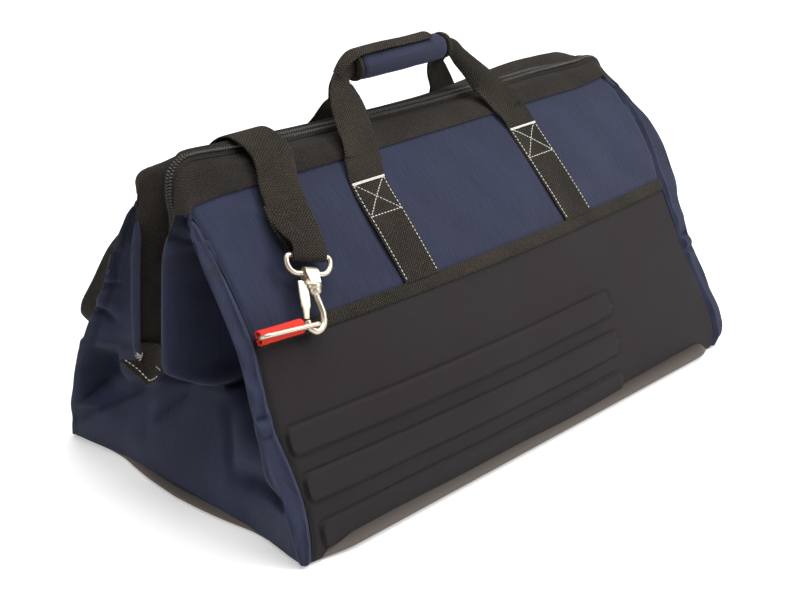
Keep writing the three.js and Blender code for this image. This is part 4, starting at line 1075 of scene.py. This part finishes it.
def foot_stitches(grid, marks, stitch):
    """Rows on a handle's foot: both edges, a thick bar, a cross and a lower line. A place across is a share
    of the half width."""
    foot, low, top = marks

    def stroke(start, end, gap, thick):
        """Stitches on a straight line between two places of the foot."""
        share = np.linspace(0, 1, SEW_POINTS)
        rows = start[0] + (end[0] - start[0]) * share
        spread = start[1] + (end[1] - start[1]) * share
        line, up = on_grid(grid, rows, np.interp(spread, BAND_SPREAD, np.arange(len(BAND_SPREAD))))
        return stitch_row(line, up, stitch * gap, stitch, thick)
    bar = top + (top - low) * 0.045
    return [stroke((foot, -0.88), (top, -0.88), 1.35, 0.42), stroke((foot, 0.88), (top, 0.88), 1.35, 0.42),
            stroke((top, -0.92), (top, 0.92), 0.5, 0.6), stroke((bar, -0.92), (bar, 0.92), 0.5, 0.6),
            stroke((low, -0.86), (low, 0.86), 1.3, 0.42), stroke((top, -0.86), (low, 0.86), 1.2, 0.4),
            stroke((top, 0.86), (low, -0.86), 1.1, 0.4)]


def rows_at(grid, heights, first):
    """Row numbers of a handle's grid at given heights, on its first or last foot."""
    z = grid[:, 4, 2]
    count = KNOT_STEPS * FOOT_KNOTS
    part = np.arange(0, count) if first else np.arange(len(z) - count, len(z))
    order = np.argsort(z[part])
    return [float(np.interp(h, z[part][order], part[order])) for h in heights]


# Materials

class Finish:
    """A material's node tree with short ways to add nodes."""

    def __init__(self, name):
        self.material = bpy.data.materials.new(name)
        self.material.use_nodes = True
        self.nodes = self.material.node_tree.nodes
        self.links = self.material.node_tree.links
        self.shader = self.nodes["Principled BSDF"]
        self.coord = self.nodes.new("ShaderNodeTexCoord")

    def set(self, **values):
        """Constant values on the shader's own sockets."""
        for key, value in values.items():
            self.shader.inputs[key.replace("_", " ")].default_value = value

    def wire(self, value, socket):
        """Links a socket, or sets a number on it."""
        if isinstance(value, bpy.types.NodeSocket):
            self.links.new(value, socket)
        else:
            socket.default_value = value

    def calc(self, operation, a, b=0.0):
        """The result of a Math node on two values, each a socket or a number."""
        node = self.nodes.new("ShaderNodeMath")
        node.operation = operation
        self.wire(a, node.inputs[0])
        self.wire(b, node.inputs[1])
        return node.outputs[0]

    def noise(self, scale, detail):
        """A noise texture's value on object coordinates."""
        node = self.nodes.new("ShaderNodeTexNoise")
        node.inputs["Scale"].default_value = scale
        node.inputs["Detail"].default_value = detail
        self.links.new(self.coord.outputs["Object"], node.inputs["Vector"])
        return node.outputs["Fac"]

    def streak(self, across_mm, along_mm):
        """Noise drawn out along the piece, from its UV map."""
        scale = self.nodes.new("ShaderNodeVectorMath")
        scale.operation = "MULTIPLY"
        scale.inputs[1].default_value = (1 / (across_mm * MM), 1 / (along_mm * MM), 1.0)
        self.links.new(self.coord.outputs["UV"], scale.inputs[0])
        node = self.nodes.new("ShaderNodeTexNoise")
        node.inputs["Scale"].default_value = 1.0
        node.inputs["Detail"].default_value = 2.0
        self.links.new(scale.outputs[0], node.inputs["Vector"])
        return node.outputs["Fac"]

    def uv(self):
        """Distances across and along the piece, in metres."""
        node = self.nodes.new("ShaderNodeSeparateXYZ")
        self.links.new(self.coord.outputs["UV"], node.inputs[0])
        return node.outputs[0], node.outputs[1]

    def wave(self, value, pitch_mm):
        """Sine with a pitch in millimetres."""
        return self.calc("SINE", self.calc("MULTIPLY", value, 2 * math.pi / (pitch_mm * MM)))

    def blend(self, factor, dark, light):
        """A colour between two, by a factor."""
        node = self.nodes.new("ShaderNodeMix")
        node.data_type = "RGBA"
        self.wire(factor, node.inputs["Factor"])
        for socket, colour in ((node.inputs[6], dark), (node.inputs[7], light)):
            self.wire(colour if isinstance(colour, bpy.types.NodeSocket) else (*colour, 1.0), socket)
        return node.outputs[2]

    def weigh(self, *pairs):
        """Sum of values, each times its weight."""
        value, weight = pairs[0]
        total = self.calc("MULTIPLY", value, weight)
        for value, weight in pairs[1:]:
            total = self.calc("ADD", total, self.calc("MULTIPLY", value, weight))
        return total

    def ranged(self, value, low, high, to_low=0.0, to_high=1.0):
        """A value carried in a straight line from one range to another, clamped."""
        node = self.nodes.new("ShaderNodeMapRange")
        for socket, number in zip(node.inputs[1:5], (low, high, to_low, to_high)):
            socket.default_value = number
        self.wire(value, node.inputs[0])
        return node.outputs[0]

    def bump(self, height, distance_mm):
        """Surface relief of a height in millimetres."""
        node = self.nodes.new("ShaderNodeBump")
        node.inputs["Strength"].default_value = 1.0
        node.inputs["Distance"].default_value = distance_mm * MM
        self.links.new(height, node.inputs["Height"])
        self.links.new(node.outputs[0], self.shader.inputs["Normal"])

    def colour(self, socket):
        """Links the shader's colour."""
        self.links.new(socket, self.shader.inputs["Base Color"])

    def rough(self, socket):
        """Links the shader's roughness."""
        self.links.new(socket, self.shader.inputs["Roughness"])


def shade(colour, factor):
    """A colour made darker or lighter."""
    return tuple(min(1.0, channel * factor) for channel in colour)


def cloth_finish(name, colour, pitch, contrast, depth_mm):
    """Plain woven cloth: crossing sines of two thread directions, fine upright streaks of the warp, broad
    tone changes and flecks."""
    f = Finish(name)
    u, v = f.uv()
    weave = f.calc("MULTIPLY", f.wave(u, 2 * pitch), f.wave(v, 2 * pitch))
    fleck = f.ranged(f.noise(900, 1.0), 0.35, 0.7)
    streak = f.ranged(f.streak(1.6, 26.0), 0.3, 0.7)
    tone = f.ranged(f.noise(16, 3.0), 0.3, 0.7)
    mixed = f.weigh((weave, 0.2), (fleck, 0.22), (streak, 0.34), (tone, 0.26))
    mixed = f.calc("ADD", mixed, 0.09)
    f.colour(f.blend(mixed, shade(colour, 1 - contrast), shade(colour, 1 + contrast)))
    f.rough(f.ranged(fleck, 0, 1, 0.74, 0.88))
    f.bump(f.weigh((weave, 1.0), (fleck, 0.5), (streak, 0.8)), depth_mm)
    f.set(Specular_IOR_Level=0.22, Sheen_Weight=0.06, Sheen_Roughness=0.5)
    return f.material


def webbing_finish(name, colour, rib, contrast):
    """Webbing: rows of raised picks, staggered by the warp, with pale worn crowns on dark grounds."""
    f = Finish(name)
    u, v = f.uv()
    ribs = f.wave(v, rib)
    warp = f.wave(u, rib * 1.1)
    weave = f.calc("MULTIPLY", ribs, warp)
    fleck = f.ranged(f.noise(620, 2.0), 0.42, 0.66)
    tone = f.ranged(f.noise(24, 2.0), 0.3, 0.7)
    crown = f.ranged(weave, 0.0, 0.9)
    wear_and_painted_light = f.calc("MULTIPLY", crown, f.calc("ADD", f.calc("MULTIPLY", fleck, 0.75), 0.25))
    mixed = f.weigh((wear_and_painted_light, 0.85), (tone, 0.14))
    f.colour(f.blend(mixed, shade(colour, 1 - contrast), shade(colour, 1 + 5.0 * contrast)))
    f.rough(f.ranged(crown, 0, 1, 0.92, 0.74))
    f.bump(f.weigh((weave, 1.0), (ribs, 0.35)), 0.5)
    f.set(Specular_IOR_Level=0.22, Sheen_Weight=0.02, Sheen_Roughness=0.5)
    return f.material


def twill_finish(name, colour, pitch):
    """Twill tape: slanting lines with flecks."""
    f = Finish(name)
    u, v = f.uv()
    slant = f.wave(f.calc("ADD", f.calc("MULTIPLY", u, 0.9), v), pitch)
    fine = f.wave(f.calc("SUBTRACT", u, f.calc("MULTIPLY", v, 0.4)), pitch * 0.8)
    fleck = f.ranged(f.noise(620, 2.0), 0.42, 0.66)
    tone = f.ranged(f.noise(20, 2.0), 0.3, 0.7)
    crown = f.ranged(f.calc("ADD", slant, f.calc("MULTIPLY", fine, 0.6)), -0.2, 1.4)
    mixed = f.weigh((f.calc("MULTIPLY", crown, fleck), 0.8), (tone, 0.2))
    f.colour(f.blend(mixed, shade(colour, 0.4), shade(colour, 4.0)))
    f.rough(f.ranged(fleck, 0, 1, 0.8, 0.92))
    f.bump(f.weigh((slant, 1.0), (fine, 0.5)), 0.35)
    f.set(Specular_IOR_Level=0.22, Sheen_Weight=0.02, Sheen_Roughness=0.5)
    return f.material


def armour_finish(name, colour):
    """Moulded laminate: a fine close-woven face with dull clouds and a little rubbing."""
    f = Finish(name)
    u, v = f.uv()
    weave = f.calc("MULTIPLY", f.wave(u, 1.5), f.wave(v, 1.5))
    grain = f.noise(1300, 1.0)
    cloud = f.ranged(f.noise(9, 4.0), 0.3, 0.72)
    mixed = f.weigh((grain, 0.5), (cloud, 0.4))
    f.colour(f.blend(mixed, shade(colour, 0.72), shade(colour, 1.3)))
    f.rough(f.ranged(cloud, 0, 1, 0.62, 0.76))
    f.bump(f.weigh((weave, 1.0), (grain, 0.8)), 0.12)
    f.set(Specular_IOR_Level=0.22, Sheen_Weight=0.01, Sheen_Roughness=0.45)
    return f.material


def base_finish(name, colour):
    """Coated base cloth: a matt grain on object coordinates, with painted light from the floor: paler near
    the floor and darkened higher up as painted shade.
    """
    f = Finish(name)
    grain = f.noise(700, 2.0)
    spot = f.nodes.new("ShaderNodeSeparateXYZ")
    f.links.new(f.coord.outputs["Object"], spot.inputs[0])
    # Painted light and shade: the colour is paler in the lowest millimetres, as if lit from the floor, and
    # much darker higher up
    rise = f.ranged(spot.outputs[2], 3 * MM, 13.5 * MM)
    wear_and_painted_light = f.blend(rise, shade(colour, 1.15), shade(colour, 0.22))
    f.colour(f.blend(f.calc("MULTIPLY", grain, 0.5), wear_and_painted_light, shade(colour, 0.4)))
    f.bump(grain, 0.2)
    f.set(Roughness=0.85, Specular_IOR_Level=0.25)
    return f.material


def steel_finish(name, colour):
    """Plated steel: satin, with soft cloudy wear."""
    f = Finish(name)
    cloud = f.ranged(f.noise(140, 3.0), 0.3, 0.7)
    f.colour(f.blend(cloud, shade(colour, 0.86), shade(colour, 1.08)))
    f.rough(f.ranged(cloud, 0, 1, 0.32, 0.48))
    f.set(Metallic=0.9)
    return f.material


def red_finish(name, colour):
    """Red tape: satin ribs along its length."""
    f = Finish(name)
    u, v = f.uv()
    ribs = f.wave(u, 1.5)
    cross = f.wave(v, 1.1)
    tone = f.ranged(f.noise(60, 2.0), 0.3, 0.7)
    mixed = f.calc("ADD", f.ranged(ribs, -1, 1, 0.0, 0.6), f.calc("MULTIPLY", tone, 0.4))
    f.colour(f.blend(mixed, shade(colour, 0.78), shade(colour, 1.12)))
    f.rough(f.ranged(ribs, -1, 1, 0.75, 0.5))
    f.bump(f.weigh((ribs, 1.0), (cross, 0.5)), 0.2)
    f.set(Specular_IOR_Level=0.25)
    return f.material


def thread_finish(name, colour):
    """Sewing thread: twisted strands seen as fine tone changes."""
    f = Finish(name)
    twist = f.noise(1600, 2.0)
    f.colour(f.blend(twist, shade(colour, 0.8), shade(colour, 1.1)))
    f.bump(twist, 0.1)
    f.set(Roughness=0.7, Specular_IOR_Level=0.3)
    return f.material


def coil_finish(name, colour):
    """Nylon coil: dark, with a satin gleam and worn crowns."""
    f = Finish(name)
    wear = f.ranged(f.noise(500, 2.0), 0.4, 0.75)
    f.colour(f.blend(wear, shade(colour, 0.8), shade(colour, 1.8)))
    f.rough(f.ranged(wear, 0, 1, 0.4, 0.55))
    f.bump(wear, 0.05)
    f.set(Specular_IOR_Level=0.4)
    return f.material


# Settings

def length_property(name, description, millimetres, least, most):
    """A length setting, given in millimetres and kept in metres."""
    return FloatProperty(name=name, description=description, default=millimetres * MM, min=least * MM,
                         max=most * MM, precision=5, subtype="DISTANCE", unit="LENGTH")


class ToolBagSizes(bpy.types.PropertyGroup):
    """Sizes that a maker may change."""
    rib_raise: length_property("Rib height", "How far the armour's ribs stand out", 2.3, 0.5, 5.0)
    weave_pitch: length_property("Cloth weave", "Spacing of the cloth's threads", 0.75, 0.3, 3.0)
    webbing_rib: length_property("Webbing rib", "Spacing of the webbing's ribs", 2.5, 0.8, 4.0)
    coil_pitch: length_property("Coil pitch", "Spacing of the zip coil's turns", 2.5, 1.0, 4.0)
    stitch: length_property("Stitch length", "Length of one stitch", 2.6, 1.0, 6.0)


def colour_property(name, description, default):
    """A colour setting in linear light."""
    return FloatVectorProperty(name=name, description=description, default=default, subtype="COLOR", size=3,
                               min=0.0, max=1.0)


class ToolBagColours(bpy.types.PropertyGroup):
    """Colours of the bag's cloths and metals."""
    navy: colour_property("Cloth", "Woven cloth of the body", (0.0168, 0.0208, 0.0472))
    armour: colour_property("Armour", "Moulded lower walls", (0.0124, 0.0087, 0.0102))
    webbing: colour_property("Webbing", "Handles and shoulder strap", (0.021, 0.0162, 0.0108))
    twill: colour_property("Tape", "Wide tapes along the zip", (0.0185, 0.0138, 0.0103))
    base: colour_property("Base", "Coated cloth of the base and its rim", (0.128, 0.106, 0.092))
    coil: colour_property("Coil", "Zip coil", (0.06, 0.059, 0.056))
    red: colour_property("Tab", "Tape round the ring", (0.78, 0.036, 0.02))
    steel: colour_property("Steel", "Hook and rings", (0.64, 0.565, 0.44))
    thread: colour_property("Thread", "Pale sewing thread", (0.62, 0.6, 0.55))
    floor: colour_property("Floor", "Plain ground", (0.8, 0.8, 0.8))


FINISHES = {}


def finish(context, name):
    """A finish by name, made the first time that it is asked for."""
    if name not in FINISHES:
        c, s = context.scene.tool_bag_colours, context.scene.tool_bag_sizes
        makers = {
            "navy_cloth": lambda: cloth_finish("navy_cloth", c.navy, s.weave_pitch / MM, 0.5, 0.18),
            "armour": lambda: armour_finish("armour_laminate", c.armour),
            "webbing": lambda: webbing_finish("black_webbing", c.webbing, s.webbing_rib / MM, 0.72),
            "twill": lambda: twill_finish("black_twill", c.twill, 2.0),
            "base": lambda: base_finish("base_cloth", c.base),
            "coil": lambda: coil_finish("zip_coil", c.coil),
            "red": lambda: red_finish("red_tape", c.red),
            "steel": lambda: steel_finish("plated_steel", c.steel),
            "thread": lambda: thread_finish("pale_thread", c.thread),
        }
        FINISHES[name] = makers[name]()
    return FINISHES[name]


# Operators

class MakeWalls(bpy.types.Operator):
    """Upper cloth, armour and binding of both walls"""
    bl_idname = "tool_bag.make_walls"
    bl_label = "Walls"

    def execute(self, context):
        navy, laminate = finish(context, "navy_cloth"), finish(context, "armour")
        rib_raise = context.scene.tool_bag_sizes.rib_raise / MM
        for name, side in (("front", -1.0), ("back", 1.0)):
            grid = panel_grid(side)
            panel = dress(shell(f"{name}_cloth", grid, -side * CLOTH, navy), "navy_cloth", f"{name}_panel")
            grid = armour_grid(side, rib_raise if side < 0 else 0.0)
            armour = shell(f"{name}_moulded_wall", grid, -side * ARMOUR_THICK, laminate)
            dress(armour, "armour", f"{name}_armour")
            grid = binding_grid(side)
            strip = band(f"{name}_binding_strip", grid.transpose(1, 0, 2), side * BINDING["thick"],
                         finish(context, "webbing"))
            dress(strip, "webbing", f"{name}_binding")
        return {"FINISHED"}


class MakeGussets(bpy.types.Operator):
    """End gussets with their rolls, valleys and hanging pleats"""
    bl_idname = "tool_bag.make_gussets"
    bl_label = "Gussets"

    def execute(self, context):
        for end in ("left", "right"):
            grid = gusset_grid(end)
            navy = finish(context, "navy_cloth")
            piece = shell(f"{end}_end_cloth", grid, SIDE[end] * CLOTH, navy, gusset_keep(grid))
            dress(piece, "navy_cloth", f"gusset_{end}")
        return {"FINISHED"}


class MakeBase(bpy.types.Operator):
    """Base cloth and its padded rim"""
    bl_idname = "tool_bag.make_base"
    bl_label = "Base"

    def execute(self, context):
        dress(loft("base_rim", base_rim(), finish(context, "base"), closed=True), "twill")
        grid = base_grid()
        base = shell("base_cloth", grid, BASE["thick"], finish(context, "base"))
        dress(base, "twill", "base_panel")
        return {"FINISHED"}


class MakeZip(bpy.types.Operator):
    """Tapes, the zip's coil and the tabs over its ends"""
    bl_idname = "tool_bag.make_zip"
    bl_label = "Zip"

    def execute(self, context):
        for name, wall in (("front", -1.0), ("back", 1.0)):
            grid = tape_grid(wall)
            piece = band(f"{name}_twill_tape", grid, wall * TAPE_THICK, finish(context, "twill"))
            dress(piece, "twill", f"{name}_tape")
        dress(band("zip_strip", zip_strip(), 1.0, finish(context, "twill")), "zip_coil", "zip")
        centre, across, up = coil_grains(context.scene.tool_bag_sizes.coil_pitch / MM)
        points, faces = beads(centre, across, up, COIL["turn"], 5, 8)
        uv = np.zeros((len(points), 2))
        dress(put_mesh("zip_coil_turns", points, faces, uv, finish(context, "coil"), ALL_SMOOTH), "zip_coil")
        rows = []
        for end in ("left", "right"):
            grid = tab_grid(end)
            piece = band(f"{end}_zip_tab", grid, SIDE[end] * WEBBING_THICK, finish(context, "webbing"))
            dress(piece, "webbing", f"zip_tab_{end}")
            outer = grid + grid_normals(grid) * SIDE[end] * WEBBING_THICK
            for row, start, stop, length, thick in TAB_SEWING:
                line, up = on_grid(outer, np.full(SEW_POINTS, row), np.linspace(start, stop, SEW_POINTS))
                rows.append(stitch_row(line, -SIDE[end] * up, TAB_PITCH, length, thick))
            rows.append(frayed_end(outer[TAB_FRAY], SIDE[end]))
        dress(sew("tab_stitches", rows, finish(context, "thread")), "webbing")
        return {"FINISHED"}


class MakeHandles(bpy.types.Operator):
    """Handle loops and the pale stitching on their feet"""
    bl_idname = "tool_bag.make_handles"
    bl_label = "Handles"

    def execute(self, context):
        rows = []
        for which in ("front", "back"):
            grid = handle_grid(which)
            wall = -1.0 if which == "front" else 1.0
            piece = band(f"{which}_handle_webbing", grid, -wall * WEBBING_THICK, finish(context, "webbing"))
            dress(piece, "webbing", f"handle_{which}")
            for foot in ("left", "right"):
                marks = rows_at(grid, FOOT_MARKS[foot], foot == "left")
                sewn = foot_stitches(grid, marks, context.scene.tool_bag_sizes.stitch / MM)
                if wall > 0:
                    sewn = [(centre, tangent, -up, sizes) for centre, tangent, up, sizes in sewn]
                rows += sewn
        dress(sew("handle_stitches", rows, finish(context, "thread")), "webbing")
        return {"FINISHED"}


class MakeGrip(bpy.types.Operator):
    """Wrapped grip, its bound ends and the edge of its flap"""
    bl_idname = "tool_bag.make_grip"
    bl_label = "Grip"

    def execute(self, context):
        left, right, width = GRIP["left"], GRIP["right"], GRIP["band"]
        rings = sleeve_rings(left, right, GRIP["thick"], 0.7)
        wrap = loft("grip_wrap", rings, finish(context, "navy_cloth"), closed=True)
        dress(wrap, "navy_cloth", "grip")
        for name, start in (("left", left - 0.3 - width), ("right", right + 0.3)):
            rings = sleeve_rings(start, start + width, 6.5, 0.5)
            dress(loft(f"grip_band_{name}", rings, finish(context, "webbing"), closed=True), "webbing",
                  f"grip_end_{name}")
        grid = flap_grid()
        flap = band("grip_flap_edge", grid, -WEBBING_THICK, finish(context, "webbing"))
        dress(flap, "webbing", "grip_edge")
        return {"FINISHED"}


class MakeClasps(bpy.types.Operator):
    """Snap hook, rings, their red tabs and the hidden link"""
    bl_idname = "tool_bag.make_clasps"
    bl_label = "Clasps"

    def execute(self, context):
        steel, red = finish(context, "steel"), finish(context, "red")
        front, back = clasp_frame("front"), clasp_frame("back")
        hook = seat(front, *HOOK)
        loop = rounded_loop(LOOP["half"], LOOP["low"], LOOP["high"], LOOP["corner"], LOOP["bend"])
        loop = evenly(loop, 120, closed=True)
        rings = tube_rings(place(hook, loop), LOOP["wire"], hook[1][2], 16, True)
        dress(loft("hook_strap_loop", rings, steel, closed=True), "plated_steel", "hook_loop")
        eye = band("hook_swivel_eye", place(hook, eye_grid()), EYE["thick"], steel)
        dress(eye, "plated_steel", "hook_eye")
        route = place(hook, hook_route())
        rings = tube_rings(route, hook_radius(len(route)), hook[1][2], 20)
        dress(loft("hook_bent_wire", rings, steel), "plated_steel", "hook_body")
        lever = band("hook_lever", place(hook, gate_grid()), -GATE["thick"], steel)
        dress(lever, "plated_steel", "hook_gate", body="gate")
        for name, base in (("front", front), ("back", back)):
            ring = seat(base, *RING_SEAT)
            rings = tube_rings(place(ring, ring_route()), RING["wire"], ring[1][1], 16, True)
            dress(loft(f"{name}_long_ring", rings, steel, closed=True), "plated_steel", f"ring_{name}")
            grid = place(ring, tab_fold())
            tab = dress(band(f"{name}_red_tab", grid, TAB["thick"], red), "red_webbing", f"tab_{name}")
        link = seat(back, *LINK)
        rings = tube_rings(place(link, link_route()), LOOP["wire"], link[1][2], 14, True)
        dress(loft("back_link", rings, steel, closed=True), "plated_steel", "link_back")
        return {"FINISHED"}


class MakeStrap(bpy.types.Operator):
    """Shoulder strap from the hook over the ridge and round the back"""
    bl_idname = "tool_bag.make_strap"
    bl_label = "Shoulder strap"

    def execute(self, context):
        grid = strap_grid()
        strap = band("shoulder_strap_webbing", grid, WEBBING_THICK, finish(context, "webbing"))
        dress(strap, "webbing", "shoulder_strap")
        return {"FINISHED"}


class MakeStage(bpy.types.Operator):
    """Floor, lights and the camera at the photograph's angle"""
    bl_idname = "tool_bag.make_stage"
    bl_label = "Stage"

    def execute(self, context):
        scene = context.scene
        scene.view_settings.view_transform = "Standard"
        mesh = bpy.data.meshes.new("ground")
        corners = np.array([(-1, -1, 0), (1, -1, 0), (1, 1, 0), (-1, 1, 0)]) * GROUND["reach"]
        mesh.from_pydata(corners.tolist(), [], [(0, 1, 2, 3)])
        ground = bpy.data.objects.new("ground", mesh)
        ground.location.z = -GROUND["drop"]
        scene.collection.objects.link(ground)
        f = Finish("pale_ground")
        colour = tuple(scene.tool_bag_colours.floor)
        f.set(Base_Color=(*colour, 1.0), Roughness=0.9, Specular_IOR_Level=0.1)
        # Painted light: the ground glows, lifting its own shadows and lighting the bag from below
        f.set(Emission_Color=(1.0, 1.0, 1.0, 1.0), Emission_Strength=GROUND["glow"])
        mesh.materials.append(f.material)
        world = bpy.data.worlds.new("soft_sky")
        world.use_nodes = True
        world.node_tree.nodes["Background"].inputs["Color"].default_value = (1.0, 1.0, 1.0, 1.0)
        world.node_tree.nodes["Background"].inputs["Strength"].default_value = SKY_STRENGTH
        scene.world = world
        for name, (spot, size, power) in LAMPS.items():
            light = bpy.data.lights.new(name, "AREA")
            light.size, light.energy = size, power
            lamp = bpy.data.objects.new(name, light)
            lamp.location = spot
            lamp.rotation_mode = "QUATERNION"
            lamp.rotation_quaternion = (Vector(LAMP_AIM) - Vector(spot)).to_track_quat("-Z", "Y")
            scene.collection.objects.link(lamp)
        camera = bpy.data.objects.new("camera", bpy.data.cameras.new("camera"))
        camera.data.lens, camera.data.sensor_width = CAMERA_LENS, CAMERA_SENSOR
        camera.data.sensor_fit = "HORIZONTAL"
        a, e = math.radians(CAMERA_AZIMUTH), math.radians(CAMERA_ELEVATION)
        back = Vector((math.sin(a) * math.cos(e), -math.cos(a) * math.cos(e), math.sin(e)))
        camera.location = CAMERA_AT
        camera.rotation_mode = "QUATERNION"
        camera.rotation_quaternion = (-back).to_track_quat("-Z", "Y")
        scene.collection.objects.link(camera)
        scene.camera = camera
        return {"FINISHED"}


class ToolBagPanel(bpy.types.Panel):
    """Buttons for each group of pieces, and the settings"""
    bl_idname = "VIEW3D_PT_tool_bag"
    bl_label = "Tool bag"
    bl_space_type = "VIEW_3D"
    bl_region_type = "UI"
    bl_category = "Tool bag"

    def draw(self, context):
        for group in (context.scene.tool_bag_sizes, context.scene.tool_bag_colours):
            for key in group.__annotations__:
                self.layout.prop(group, key)
        for operator in MAKERS:
            self.layout.operator(operator.bl_idname)


MAKERS = (MakeStage, MakeWalls, MakeGussets, MakeBase, MakeZip, MakeHandles, MakeGrip, MakeClasps,
          MakeStrap)
CLASSES = (ToolBagSizes, ToolBagColours, *MAKERS, ToolBagPanel)


def register():
    """Registers the classes and the scene's settings."""
    for cls in CLASSES:
        bpy.utils.register_class(cls)
    bpy.types.Scene.tool_bag_sizes = PointerProperty(type=ToolBagSizes)
    bpy.types.Scene.tool_bag_colours = PointerProperty(type=ToolBagColours)


def unregister():
    """Takes away what register added."""
    del bpy.types.Scene.tool_bag_colours
    del bpy.types.Scene.tool_bag_sizes
    for cls in reversed(CLASSES):
        bpy.utils.unregister_class(cls)


def main():
    """Makes every piece in order."""
    register()
    bpy.ops.tool_bag.make_stage()
    bpy.ops.tool_bag.make_walls()
    bpy.ops.tool_bag.make_gussets()
    bpy.ops.tool_bag.make_base()
    bpy.ops.tool_bag.make_zip()
    bpy.ops.tool_bag.make_handles()
    bpy.ops.tool_bag.make_grip()
    bpy.ops.tool_bag.make_clasps()
    bpy.ops.tool_bag.make_strap()


if __name__ == "__main__":
    main()
